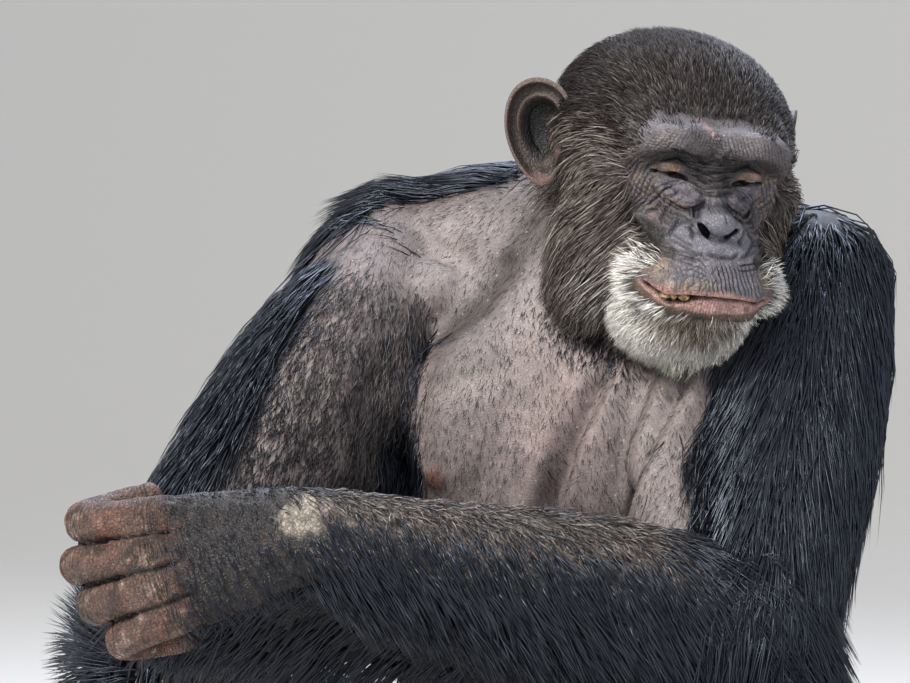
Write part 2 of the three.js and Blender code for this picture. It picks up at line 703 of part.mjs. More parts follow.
const coats = {
  chest: [
    ...rowsOfLocks(torso, {
      from: [0.74, 0.54], to: [0.42, 0.96], rows: 3, perRow: 3, length: 116, width: 96, towards: backLie,
      seed: 41, rise: 7, depth: 9,
    }),
    ...rowsOfLocks(yoke, {
      from: [0.3, 0.3], to: [0.7, 0.78], rows: 3, perRow: 2, length: 84, width: 56, towards: capeLie,
      seed: 42, rise: 7, depth: 8,
    }),
  ],
  pelvis: rowsOfLocks(torso, {
    from: [0.36, 0.53], to: [0.2, 0.97], rows: 2, perRow: 4, length: 92, width: 72, towards: backLie,
    seed: 43, rise: 6, depth: 9,
  }),
  upper_arm_left: rowsOfLocks(upperArmLeft, {
    from: [0.18, 0.08], to: [0.74, 0.9], rows: 3, perRow: 4, length: 112, width: 50,
    towards: mixed([down, 1], [wayOf(shoulderLeft, elbowLeft), 0.4]), seed: 44, rise: 11, depth: 12,
  }),
  upper_arm_right: rowsOfLocks(upperArmRight, {
    from: [0.14, -0.22], to: [0.8, 0.3], rows: 4, perRow: 3, length: 88, width: 42,
    towards: mixed([down, 0.5], [wayOf(shoulderRight, elbowRight), 1]), seed: 45, rise: 8, depth: 9,
  }),
  forearm_left: rowsOfLocks(forearmLeft, {
    from: [0.78, -0.05], to: [0.34, 0.5], rows: 4, perRow: 3, length: 90, width: 50,
    towards: mixed([down, 1], [wayOf(wristLeft, elbowLeft), 0.7]), seed: 46, rise: 7, depth: 9,
  }),
  forearm_right: rowsOfLocks(forearmRight, {
    from: [0.8, 0], to: [0.25, 0.6], rows: 3, perRow: 2, length: 74, width: 44,
    towards: mixed([down, 0.8], [wayOf(wristRight, elbowRight), 0.8]), seed: 47, rise: 6, depth: 8,
  }),
  thigh_left: rowsOfLocks(thighLeft, {
    from: [0.3, 0.2], to: [0.76, 0.7], rows: 3, perRow: 3, length: 84, width: 50,
    towards: mixed([down, 1], [wayOf(hipLeft, kneeLeft), 0.3]), seed: 48, rise: 7, depth: 8,
  }),
  thigh_right: [
    ...rowsOfLocks(thighRight, {
      from: [0.3, -0.05], to: [0.7, 0.4], rows: 3, perRow: 2, length: 88, width: 62,
      towards: mixed([down, 1], [wayOf(hipRight, kneeRight), 0.3]), seed: 49, rise: 8, depth: 8,
    }),
    ...rowsOfLocks(thighRight, {
      from: [0.66, 0], to: [0.82, 0.3], rows: 2, perRow: 2, length: 112, width: 34,
      towards: () => point(-0.45, 0.1, 1), seed: 52, rise: 26, depth: 8, sag: 0,
    }),
  ],
  shin_left: rowsOfLocks(shinLeft, {
    from: [0.2, 0.05], to: [0.6, 1.05], rows: 2, perRow: 4, length: 84, width: 46,
    towards: mixed([down, 1], [wayOf(kneeLeft, ankleLeft), 0.5]), seed: 50, rise: 7, depth: 8,
  }),
  shin_right: rowsOfLocks(shinRight, {
    from: [0.2, -0.3], to: [0.6, 0.7], rows: 2, perRow: 4, length: 86, width: 46,
    towards: mixed([down, 1], [wayOf(kneeRight, ankleRight), 0.5]), seed: 51, rise: 8, depth: 8,
  }),
};

// The nodes, in the order in which a later one gives way to those before it
const parts = [
  { name: "chest", colour: skinBrown, base: chestBase },
  { name: "pelvis", colour: dark, base: pelvisBase },
  {
    name: "head", colour: 0x3d3836, inHead: true,
    base: (grow) => headBase(grow).transform(headFrame.elements),
  },
  { name: "neck", colour: 0x4a4240, base: (grow) => neck.body(grow) },
  {
    name: "thigh_left", colour: dark,
    base: limbBase(thighLeft, [before(kneeLeft, kneeWay.left), onGround]),
  },
  {
    name: "thigh_right", colour: dark,
    base: limbBase(thighRight, [before(kneeRight, kneeWay.right), onGround]),
  },
  {
    name: "shin_left", colour: dark,
    base: limbBase(shinLeft, [past(kneeLeft, kneeWay.left), before(ankleCut.left, down)]),
  },
  {
    name: "shin_right", colour: dark,
    base: limbBase(shinRight, [past(kneeRight, kneeWay.right), before(ankleCut.right, down)]),
  },
  {
    name: "foot_left", colour: 0x2b2624,
    base: handBase(footLeft, [past(ankleCut.left, down), onGround]),
  },
  {
    name: "foot_right", colour: 0x2b2624,
    base: handBase(footRight, [past(ankleCut.right, down), onGround]),
  },
  {
    name: "upper_arm_left", colour: dark,
    base: armLeftBase([past(shoulderCut.left, shoulderWay.left), before(elbowLeft, elbowWay.left)]),
  },
  {
    name: "upper_arm_right", colour: 0x4b4341,
    base: limbBase(upperArmRight, [
      past(shoulderCut.right, shoulderWay.right),
      before(elbowRight, elbowWay.right),
    ]),
  },
  {
    name: "forearm_left", colour: dark,
    base: limbBase(forearmLeft, [past(elbowLeft, elbowWay.left), before(wristLeft, wristWay.left)]),
  },
  {
    name: "forearm_right", colour: dark,
    base: limbBase(forearmRight, [past(elbowRight, elbowWay.right), before(wristRight, wristWay.right)]),
  },
  { name: "hand_left", colour: 0x54423b, base: handBase(handLeft, [past(wristLeft, wristWay.left)]) },
  { name: "hand_right", colour: 0x54423b, base: handBase(handRight, [past(wristRight, wristWay.right)]) },
];

function touching(a, b) {
  const [p, q] = [a.boundingBox(), b.boundingBox()];
  return [0, 1, 2].every((i) => p.min[i] < q.max[i] && q.min[i] < p.max[i]);
}
const cutClear = (manifold, others) =>
  others.filter((other) => touching(manifold, other)).reduce((rest, other) => rest.subtract(other), manifold);

for (const part of parts) {
  part.grown = part.base(clearance);
  part.core = largest(cutClear(part.base(0), parts.slice(0, parts.indexOf(part)).map((p) => p.grown)));
  if (part.inHead) coats.head = [...beard, ...cheekLocks, ...crownLocks];
  const locks = coats[part.name] ?? [];
  const made = (grow) => {
    const body = joined(locks.map((l) => lock(l, grow)));
    return part.inHead ? body.transform(headFrame.elements) : body;
  };
  if (locks.length) [part.locks, part.grownLocks] = [made(0), made(clearance)];
}

const object = new THREE.Group();
function addNode(name, manifold, colour, roughness = 0.85, parent = object) {
  const material = new THREE.MeshStandardMaterial({ color: colour, roughness, metalness: 0 });
  const mesh = new THREE.Mesh(geometryOf(manifold), material);
  mesh.name = name;
  parent.add(mesh);
}

parts.forEach((part, i) => {
  let made = part.core;
  if (part.locks) {
    const others = parts.filter((p) => p !== part).map((p) => p.grown);
    others.push(...parts.slice(0, i).flatMap((p) => (p.grownLocks ? [p.grownLocks] : [])));
    made = made.add(onGround(cutClear(part.locks, others)));
  }
  addNode(part.name, largest(made), part.colour);
});

const headNode = parts.find((p) => p.name === "head");
for (const [name, side] of sides) {
  const bowl = ear(side).transform(headFrame.elements);
  const clear = [headNode.grown, headNode.grownLocks, parts[0].grown];
  addNode(`ear_${name}`, largest(cutClear(bowl, clear)), 0x4a3f3c);
  addNode(`eye_${name}`, eyeball(side)(0).transform(headFrame.elements), 0x1c1210, 0.15);
}
addNode("teeth", largest(teeth(0).transform(headFrame.elements)), 0xcdb37a, 0.4);

export default object;
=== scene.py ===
import bpy
import numpy as np
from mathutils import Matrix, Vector


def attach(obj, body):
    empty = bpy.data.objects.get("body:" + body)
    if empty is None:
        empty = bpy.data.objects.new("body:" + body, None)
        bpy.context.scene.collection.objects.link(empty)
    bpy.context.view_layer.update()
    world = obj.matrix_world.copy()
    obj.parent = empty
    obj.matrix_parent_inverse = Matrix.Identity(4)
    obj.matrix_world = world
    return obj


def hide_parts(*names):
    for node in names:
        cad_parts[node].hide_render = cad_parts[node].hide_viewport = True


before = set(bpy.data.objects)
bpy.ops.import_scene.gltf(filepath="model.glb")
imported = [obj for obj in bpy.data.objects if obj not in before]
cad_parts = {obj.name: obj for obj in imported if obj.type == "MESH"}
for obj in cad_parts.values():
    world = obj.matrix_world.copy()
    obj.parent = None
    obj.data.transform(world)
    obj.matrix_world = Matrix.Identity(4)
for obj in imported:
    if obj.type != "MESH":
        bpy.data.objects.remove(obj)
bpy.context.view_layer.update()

mm = 0.001
down = np.array([0.0, 0.0, -1.0])
# How far skin, nails and hair stay above the ground, in millimetres
lowest = {"skin": 0.4, "nail": 0.5, "hair": 1.2}

# The joints of the skeleton, in millimetres
joints = {
    "shoulderLeft": (144, -30, 535), "elbowLeft": (172, -220, 332), "wristLeft": (-92, -308, 390),
    "shoulderRight": (-139, -26, 545), "elbowRight": (-198, -226, 362), "wristRight": (44, -176, 326),
    "hipLeft": (80, 12, 92), "kneeLeft": (112, -236, 232), "ankleLeft": (96, -384, 62),
    "hipRight": (-80, 12, 92), "kneeRight": (-268, -106, 288), "ankleRight": (-256, -178, 62),
}
joints = {name: np.array(place, float) for name, place in joints.items()}


# Small maths on whole arrays
def unit(vectors):
    return vectors / np.maximum(np.linalg.norm(vectors, axis=-1, keepdims=True), 1e-9)


def fade(values, start, stop):
    # 0 before start, 1 past stop, an S between them
    t = np.clip((values - start) / (stop - start), 0, 1)
    return t * t * (3 - 2 * t)


def dot(a, b):
    return (a * b).sum(-1)


def softNoise(points, size, seed):
    # A random number at each corner of a lattice of cells of that size, blended smoothly in between: -1 to 1
    table = np.random.default_rng(seed).uniform(-1, 1, (32, 32, 32))
    q = np.asarray(points, float) / size
    i = np.floor(q).astype(int)
    f = q - i
    f = f * f * (3 - 2 * f)
    total = np.zeros(len(q))
    for corner in np.ndindex(2, 2, 2):
        share = np.prod(np.where(np.array(corner) == 1, f, 1 - f), axis=1)
        total += share * table[tuple(((i + corner) % 32).T)]
    return total


def valleys(phase):
    # Narrow dark valleys between broad rises, from a phase in turns
    return fade(np.sin(phase * 2 * np.pi), 0.15, 1)


def turnOf(degrees, order="xyz"):
    x, y, z = np.radians(degrees)
    turns = {
        "x": np.array([[1, 0, 0], [0, np.cos(x), -np.sin(x)], [0, np.sin(x), np.cos(x)]]),
        "y": np.array([[np.cos(y), 0, np.sin(y)], [0, 1, 0], [-np.sin(y), 0, np.cos(y)]]),
        "z": np.array([[np.cos(z), -np.sin(z), 0], [np.sin(z), np.cos(z), 0], [0, 0, 1]]),
    }
    return turns[order[0]] @ turns[order[1]] @ turns[order[2]]


def curveThrough(points, t):
    # A smooth curve through all points, which slows down before a short stretch (centripetal Catmull-Rom)
    p = np.asarray(points, float)
    n = len(p) - 1
    extended = np.vstack([2 * p[0] - p[1], p, 2 * p[-1] - p[-2]])
    s = np.clip(t, 0, 1) * n
    i = np.minimum(s.astype(int), n - 1)
    w = (s - i)[..., None]
    p0, p1, p2, p3 = (extended[i + k] for k in range(4))
    gaps = [np.maximum(np.linalg.norm(b - a, axis=-1, keepdims=True) ** 0.5, 1e-4)
            for a, b in ((p0, p1), (p1, p2), (p2, p3))]
    d0, d1, d2 = gaps
    t1 = ((p1 - p0) / d0 - (p2 - p0) / (d0 + d1) + (p2 - p1) / d1) * d1
    t2 = ((p2 - p1) / d1 - (p3 - p1) / (d1 + d2) + (p3 - p2) / d2) * d1
    return p1 + t1 * w + (-3 * p1 + 3 * p2 - 2 * t1 - t2) * w**2 + (2 * p1 - 2 * p2 + t1 + t2) * w**3


# Limbs and eggs
def makeLimb(spine, ovals, facing, ends=(1, 1), square=1.0):
    return {"spine": np.array(spine, float), "ovals": np.array(ovals, float), "facing": np.array(facing, float),
            "ends": ends, "square": square}


def limbFrames(limb, t):
    # The middle of the section at share t of the spine, its three directions, and its half width and depth
    step = 1e-4
    middle = curveThrough(limb["spine"], t)
    ahead = curveThrough(limb["spine"], np.minimum(t + step, 1))
    along = unit(ahead - curveThrough(limb["spine"], np.maximum(t - step, 0)))
    across = unit(np.cross(along, limb["facing"]))
    out = unit(np.cross(across, along))
    return middle, along, across, out, curveThrough(limb["ovals"], t)


def limbSurface(limb, u, v):
    # An oval carried along a smooth spine: middle + across·cos(a)·width + out·sin(a)·depth, with round ends
    share = 0.2
    past = np.where(u < share, 1 - u / share, np.where(u > 1 - share, 1 - (1 - u) / share, 0))
    middle, along, across, out, size = limbFrames(limb, np.clip((u - share) / (1 - 2 * share), 0, 1))
    lean = np.where(u < 0.5, -limb["ends"][0], limb["ends"][1])
    reach = np.sin(past * np.pi / 2) * size.mean(-1)
    shrink = np.cos(past * np.pi / 2)
    a = v * 2 * np.pi
    c = np.sign(np.cos(a)) * np.abs(np.cos(a)) ** limb["square"] * shrink * size[..., 0]
    d = np.sign(np.sin(a)) * np.abs(np.sin(a)) ** limb["square"] * shrink * size[..., 1]
    centre = middle + along * (lean * reach)[..., None]
    return centre + across * c[..., None] + out * d[..., None]


def closedFaces(rows, sides):
    # Faces of a closed grid: a pole, rings 1 to rows - 1, and a pole
    j = np.arange(sides)
    k = (j + 1) % sides
    first = 1 + np.arange(rows - 2)[:, None] * sides
    quads = np.stack([first + j, first + sides + j, first + sides + k, first + k], -1).reshape(-1, 4)
    last = 1 + (rows - 1) * sides
    top = np.stack([np.zeros_like(j), 1 + j, 1 + k], -1)
    bottom = np.stack([1 + (rows - 2) * sides + j, np.full_like(j, last), 1 + (rows - 2) * sides + k], -1)
    return quads, np.vstack([top, bottom])


def closedShell(rows, sides, at):
    # at(u, v) on a grid from pole to pole, closed, and turned so that it faces out
    u, v = np.meshgrid(np.arange(1, rows) / rows, np.arange(sides) / sides, indexing="ij")
    poles = at(np.array([0.0, 1.0]), np.array([0.0, 0.0]))
    points = np.vstack([poles[:1], at(u, v).reshape(-1, 3), poles[1:]])
    quads, triangles = closedFaces(rows, sides)
    a, b, c = (points[triangles[:, i]] for i in range(3))
    q = points[quads]
    volume = dot(a, np.cross(b, c)).sum() + dot(q[:, 0], np.cross(q[:, 1], q[:, 2])).sum()
    volume += dot(q[:, 0], np.cross(q[:, 2], q[:, 3])).sum()
    if volume < 0:
        quads, triangles = quads[:, ::-1], triangles[:, ::-1]
    return points, quads, triangles


def limbShell(limb, rows, sides):
    return closedShell(rows, sides, lambda u, v: limbSurface(limb, u, v))


def eggShell(at, size, turn=(0, 0, 0), rows=24, sides=24):
    # An ellipsoid: its half axes times (sin·cos, sin·sin, cos), turned and moved to its place
    def surface(u, v):
        a, b = u * np.pi, v * 2 * np.pi
        p = np.stack([np.sin(a) * np.cos(b), np.sin(a) * np.sin(b), np.cos(a)], -1) * np.array(size, float)
        return p @ turnOf(turn).T + np.array(at, float)
    return closedShell(rows, sides, surface)


# Meshes from arrays, and back
def makeMesh(name, points, faceSets):
    mesh = bpy.data.meshes.new(name)
    loops = np.concatenate([f.ravel() for f in faceSets]).astype(np.int32)
    sizes = np.concatenate([np.full(len(f), f.shape[1]) for f in faceSets])
    starts = np.concatenate([[0], np.cumsum(sizes)[:-1]]).astype(np.int32)
    mesh.vertices.add(len(points))
    mesh.vertices.foreach_set("co", (np.asarray(points) * mm).astype(np.float32).ravel())
    mesh.loops.add(len(loops))
    mesh.loops.foreach_set("vertex_index", loops)
    mesh.polygons.add(len(sizes))
    mesh.polygons.foreach_set("loop_start", starts)
    mesh.update(calc_edges=True)
    mesh.polygons.foreach_set("use_smooth", np.full(len(sizes), True))
    piece = bpy.data.objects.new(name, mesh)
    bpy.context.scene.collection.objects.link(piece)
    return piece


def joinShells(shells):
    points, quads, triangles, start = [], [], [], 0
    for p, q, t in shells:
        points.append(p)
        quads.append(q + start)
        triangles.append(t + start)
        start += len(p)
    return np.vstack(points), np.vstack(quads), np.vstack(triangles)


def blended(name, shells, voxel, relax):
    # Overlapping closed shells become one skin, in square cells of voxel mm, relaxed so that the joins are soft
    points, quads, triangles = joinShells(shells)
    rough = makeMesh(name, points, [quads, triangles])
    remesh = rough.modifiers.new("oneSkin", "REMESH")
    remesh.mode = "VOXEL"
    remesh.voxel_size = voxel * mm
    done = bpy.data.meshes.new_from_object(rough.evaluated_get(bpy.context.evaluated_depsgraph_get()))
    points = np.empty(len(done.vertices) * 3, np.float32)
    done.vertices.foreach_get("co", points)
    points = points.reshape(-1, 3).astype(float) / mm
    loops = np.empty(len(done.loops), np.int32)
    done.loops.foreach_get("vertex_index", loops)
    quads = loops.reshape(-1, 4)
    bpy.data.objects.remove(rough)
    return relaxed(points, quads, relax), quads


def relaxed(points, quads, times, give=0.5, back=-0.52):
    # Each point moves towards the mean of its neighbours, then a little back, so the volume is kept
    edges = np.vstack([quads[:, [i, (i + 1) % 4]] for i in range(4)])
    count = np.bincount(edges[:, 0], minlength=len(points))[:, None]
    for step in range(2 * times):
        mean = np.stack([np.bincount(edges[:, 0], points[edges[:, 1], k], len(points)) for k in range(3)], -1)
        points = points + (mean / np.maximum(count, 1) - points) * (give if step % 2 == 0 else back)
    return points


def trianglesOf(quads):
    return np.vstack([quads[:, [0, 1, 2]], quads[:, [0, 2, 3]]])


def normalsOf(points, triangles):
    a, b, c = (points[triangles[:, i]] for i in range(3))
    faceNormals = np.cross(b - a, c - a)
    total = np.zeros_like(points)
    for i in range(3):
        for k in range(3):
            total[:, k] += np.bincount(triangles[:, i], faceNormals[:, k], len(points))
    return unit(total)


def setValues(piece, name, values):
    kind = "FLOAT" if values.ndim == 1 else "FLOAT_COLOR"
    attribute = piece.data.attributes.new(name, kind, "POINT")
    if kind == "FLOAT":
        attribute.data.foreach_set("value", values.astype(np.float32))
    else:
        full = np.concatenate([values, np.ones((len(values), 1))], 1)
        attribute.data.foreach_set("color", full.astype(np.float32).ravel())


def linear(hexColour):
    # sRGB hex to linear light
    c = np.array([int(hexColour[i:i + 2], 16) for i in (1, 3, 5)]) / 255
    return np.where(c <= 0.04045, c / 12.92, ((c + 0.055) / 1.055) ** 2.4)


def tinted(base, colour, share):
    return base + (linear(colour) - base) * np.clip(share, 0, 1)[..., None]


def distanceToLine(points, line):
    # How far each point is from a bent line, and its share along it
    line = np.asarray(line, float)
    best = np.full(len(points), 1e9)
    share = np.zeros(len(points))
    for k in range(len(line) - 1):
        way = line[k + 1] - line[k]
        t = np.clip(((points - line[k]) @ way) / max(way @ way, 1e-9), 0, 1)
        d = np.linalg.norm(points - line[k] - t[:, None] * way, axis=1)
        closer = d < best
        best = np.where(closer, d, best)
        share = np.where(closer, (k + t) / (len(line) - 1), share)
    return best, share


# Materials
def addNode(tree, kind, settings=None, links=None):
    # One node with its settings and links. "stops" are the places of a colour ramp, each with a grey or a hex code.
    node = tree.nodes.new(kind)
    for key, value in (settings or {}).items():
        if key == "stops":
            elements = node.color_ramp.elements
            while len(elements) < len(value):
                elements.new(0.5)
            for element, (place, shade) in zip(elements, value):
                element.position = place
                element.color = (*(linear(shade) if isinstance(shade, str) else (shade,) * 3), 1)
        elif isinstance(key, str) and hasattr(node, key):
            setattr(node, key, value)
        else:
            node.inputs[key].default_value = value
    for key, socket in (links or {}).items():
        tree.links.new(socket, node.inputs[key])
    return node


def newMaterial(name):
    material = bpy.data.materials.new(name)
    material.use_nodes = True
    tree = material.node_tree
    tree.nodes.clear()
    shader = addNode(tree, "ShaderNodeBsdfPrincipled")
    addNode(tree, "ShaderNodeOutputMaterial", links={"Surface": shader.outputs[0]})
    return material, tree, shader


multiply = {"data_type": "RGBA", "blend_type": "MULTIPLY"}


def skinMaterial(name, look):
    # Primate skin: matte, creased in small cells with pores between and painted shade in the creases, mottled, and a
    # little greasy on the rises
    material, tree, shader = newMaterial(name)
    where = addNode(tree, "ShaderNodeTexCoord").outputs["Object"]
    tone = addNode(tree, "ShaderNodeAttribute", {"attribute_name": "tone"}).outputs["Color"]
    mottle = addNode(tree, "ShaderNodeTexNoise", {"Scale": 1 / look["mottle"], "Detail": 6, "Roughness": 0.65},
                     {"Vector": where}).outputs["Fac"]
    fine = addNode(tree, "ShaderNodeTexNoise", {"Scale": 1 / look["pore"], "Detail": 3, "Roughness": 0.6},
                   {"Vector": where}).outputs["Fac"]
    bend = addNode(tree, "ShaderNodeTexNoise", {"Scale": 1 / (3 * look["cell"]), "Detail": 2}, {"Vector": where})
    bent = addNode(tree, "ShaderNodeMix", {"data_type": "VECTOR", "Factor": 0.004},
                   {4: where, 5: bend.outputs["Color"]}).outputs[1]
    cells = addNode(tree, "ShaderNodeTexVoronoi", {"feature": "DISTANCE_TO_EDGE", "Scale": 1 / look["cell"]},
                    {"Vector": bent}).outputs["Distance"]
    creases = addNode(tree, "ShaderNodeValToRGB", {"stops": [(0.0, 0.0), (look["crease"], 1.0)]},
                      {"Fac": cells}).outputs[0]
    shade = addNode(tree, "ShaderNodeValToRGB", {"stops": [(0.3, look["dark"]), (0.5, 0.9), (0.7, look["light"])]},
                    {"Fac": mottle}).outputs[0]
    toned = addNode(tree, "ShaderNodeMix", {**multiply, "Factor": 1.0}, {6: tone, 7: shade}).outputs[2]
    # The creases are darkened in colour too: painted shade
    creaseShade = addNode(tree, "ShaderNodeValToRGB", {"stops": [(0.0, look["creaseDark"]), (1.0, 1.0)]},
                          {"Fac": creases}).outputs[0]
    lined = addNode(tree, "ShaderNodeMix", {**multiply, "Factor": 0.8}, {6: toned, 7: creaseShade}).outputs[2]
    # Pale flakes of dry skin, one in each 6 mm
    dots = addNode(tree, "ShaderNodeTexVoronoi", {"Scale": 1 / 0.006, "Randomness": 1.0}, {"Vector": where})
    flakes = addNode(tree, "ShaderNodeValToRGB", {"stops": [(0.07, look["flakes"]), (0.16, 0.0)]},
                     {"Fac": dots.outputs["Distance"]}).outputs[0]
    flaked = addNode(tree, "ShaderNodeMix", {"data_type": "RGBA", "blend_type": "MIX", 7: (*linear("#9d918a"), 1)},
                     {"Factor": flakes, 6: lined}).outputs[2]
    height = addNode(tree, "ShaderNodeMath", {"operation": "MULTIPLY_ADD", 1: 0.55},
                     {0: creases, 2: fine}).outputs[0]
    if look["lines"]:
        # Fine lines across the digits, one each 2.5 mm, that waver a little, with painted shade in them
        phase = addNode(tree, "ShaderNodeAttribute", {"attribute_name": "lines"}).outputs["Fac"]
        lined = addNode(tree, "ShaderNodeAttribute", {"attribute_name": "lined"}).outputs["Fac"]
        waver = addNode(tree, "ShaderNodeMath", {"operation": "MULTIPLY_ADD", 1: 1.6}, {0: mottle, 2: phase})
        turned = addNode(tree, "ShaderNodeMath", {"operation": "MULTIPLY", 1: 6.283}, {0: waver.outputs[0]})
        wave = addNode(tree, "ShaderNodeMath", {"operation": "SINE"}, {0: turned.outputs[0]}).outputs[0]
        rise = addNode(tree, "ShaderNodeMapRange", {"From Min": -1.0, "From Max": 0.2}, {"Value": wave}).outputs[0]
        depth = addNode(tree, "ShaderNodeMix", {2: 1.0}, {"Factor": lined, 3: rise}).outputs[0]
        height = addNode(tree, "ShaderNodeMath", {"operation": "MULTIPLY_ADD", 1: 1.2},
                         {0: depth, 2: height}).outputs[0]
        lineShade = addNode(tree, "ShaderNodeValToRGB", {"stops": [(0.0, 0.32), (0.8, 1.0)]},
                            {"Fac": depth}).outputs[0]
        flaked = addNode(tree, "ShaderNodeMix", {**multiply, "Factor": 1.0}, {6: flaked, 7: lineShade}).outputs[2]
    bump = addNode(tree, "ShaderNodeBump", {"Strength": look["bump"], "Distance": 0.0012}, {"Height": height})
    rough = addNode(tree, "ShaderNodeMapRange", {"To Min": look["rough"][0], "To Max": look["rough"][1]},
                    {"Value": mottle}).outputs[0]
    shader.inputs["Specular IOR Level"].default_value = look["shine"]
    tree.links.new(flaked, shader.inputs["Base Color"])
    tree.links.new(rough, shader.inputs["Roughness"])
    tree.links.new(bump.outputs[0], shader.inputs["Normal"])
    return material


def coatMaterial(name, look):
    # Keratin hair: each tuft has its own shade, a darker root that is partly painted shade deep in the coat, and a
    # paler tip, under a tight glossy highlight
    material, tree, shader = newMaterial(name)
    shade = addNode(tree, "ShaderNodeAttribute", {"attribute_name": "shade"}).outputs["Fac"]
    share = addNode(tree, "ShaderNodeAttribute", {"attribute_name": "share"}).outputs["Fac"]
    tone = addNode(tree, "ShaderNodeAttribute", {"attribute_name": "tone"}).outputs["Color"]
    for factor, stops in ((shade, [(0.0, look["dark"]), (0.6, 0.9), (1.0, look["light"])]),
                          (share, [(0.0, look["root"]), (0.5, 1.0), (1.0, look["tip"])])):
        ramp = addNode(tree, "ShaderNodeValToRGB", {"stops": stops}, {"Fac": factor}).outputs[0]
        tone = addNode(tree, "ShaderNodeMix", {**multiply, "Factor": 1.0}, {6: tone, 7: ramp}).outputs[2]
    tree.links.new(tone, shader.inputs["Base Color"])
    shader.inputs["Roughness"].default_value = look["rough"]
    shader.inputs["Specular IOR Level"].default_value = look["shine"]
    shader.inputs["Specular Tint"].default_value = (*linear(look["gloss"]), 1)
    return material


print("materials")
skinLooks = {
    "body": {"mottle": 0.009, "pore": 0.0012, "cell": 0.002, "crease": 0.16, "creaseDark": 0.72, "dark": 0.74,
             "light": 1.22, "flakes": 0.75, "bump": 0.3, "rough": (0.42, 0.62), "shine": 0.5, "lines": False},
    "face": {"mottle": 0.006, "pore": 0.0009, "cell": 0.0021, "crease": 0.22, "creaseDark": 0.5, "dark": 0.65,
             "light": 1.3, "flakes": 0.0, "bump": 0.55, "rough": (0.36, 0.58), "shine": 0.5, "lines": False},
    "hand": {"mottle": 0.006, "pore": 0.001, "cell": 0.0028, "crease": 0.24, "creaseDark": 0.4, "dark": 0.45,
             "light": 1.6, "flakes": 0.2, "bump": 0.85, "rough": (0.36, 0.6), "shine": 0.5, "lines": True},
}
bodySkinLook = skinMaterial("primateSkinBody", skinLooks["body"])
faceSkinLook = skinMaterial("primateSkinFace", skinLooks["face"])
handSkinLook = skinMaterial("primateSkinBare", skinLooks["hand"])
coatLooks = {
    "black": {"dark": 0.45, "light": 1.7, "root": 0.6, "tip": 1.25, "rough": 0.36, "shine": 0.75,
              "gloss": "#cfdcf2"},
    "grey": {"dark": 0.5, "light": 1.5, "root": 0.45, "tip": 1.4, "rough": 0.5, "shine": 0.4, "gloss": "#f0f2f6"},
    "head": {"dark": 0.5, "light": 1.7, "root": 0.6, "tip": 1.3, "rough": 0.56, "shine": 0.26, "gloss": "#dedce0"},
}
blackHair = coatMaterial("keratinHairBlack", coatLooks["black"])
greyHair = coatMaterial("keratinHairGrey", coatLooks["grey"])
headHair = coatMaterial("keratinHairHead", coatLooks["head"])


# The trunk and limbs, as in the solids
print("body forms")
forward, up = (0, -1, 0), (0, 0, 1)


def between(start, end, ovals, facing, bow=(0, 0, 0), ends=(1, 1)):
    t = np.linspace(0, 1, len(ovals))[:, None]
    spine = joints[start] + (joints[end] - joints[start]) * t + np.sin(t * np.pi) * np.array(bow, float)
    return makeLimb(spine, ovals, facing, ends)


shoulderIn = {"left": joints["shoulderLeft"] + (-8, 6, -4), "right": joints["shoulderRight"] + (8, 6, -4)}
bones = {
    "torso": makeLimb(
        [(0, 22, 70), (0, 16, 150), (0, 2, 250), (0, -18, 350), (0, -30, 430), (0, -28, 500), (0, -26, 545)],
        [[112, 88], [122, 106], [130, 118], [138, 118], [144, 110], [128, 90], [96, 66]],
        forward, (0.75, 0.5), 0.92),
    "yoke": makeLimb(
        [shoulderIn["right"], (-78, -16, 556), (0, -14, 560), (78, -18, 546), shoulderIn["left"]],
        [[46, 46], [56, 48], [66, 52], [56, 48], [46, 46]], up),
    "neck": makeLimb([(8, -26, 540), (34, -46, 576), (60, -70, 604)], [[74, 70], [62, 62], [58, 60]], forward,
                     (0.4, 0.3)),
    "upperArmLeft": between("shoulderLeft", "elbowLeft", [[48, 48], [54, 53], [54, 52], [49, 48], [43, 44]],
                            forward),
    "upperArmRight": between("shoulderRight", "elbowRight", [[46, 48], [57, 54], [61, 56], [56, 52], [46, 46]],
                             forward, (8, 0, 0)),
}
pairedOvals = {"forearm": [[42, 44], [46, 44], [40, 38], [32, 29], [29, 23]],
               "thigh": [[82, 80], [80, 78], [70, 70], [60, 60], [51, 52]],
               "shin": [[48, 50], [46, 52], [40, 44], [32, 34], [29, 32]]}
for side, armBow, shinBow in (("Left", (0, 0, 5), (0, 6, -6)), ("Right", (0, 0, -4), (0, 10, 0))):
    bones["forearm" + side] = between("elbow" + side, "wrist" + side, pairedOvals["forearm"], forward, armBow,
                                      (0.95, 0.5))
    bones["thigh" + side] = between("hip" + side, "knee" + side, pairedOvals["thigh"], up)
    bones["shin" + side] = between("knee" + side, "ankle" + side, pairedOvals["shin"], forward, shinBow)
bodyBones = ["torso", "yoke", "neck", "upperArmLeft", "upperArmRight", "thighLeft", "thighRight", "shinLeft",
             "shinRight"]

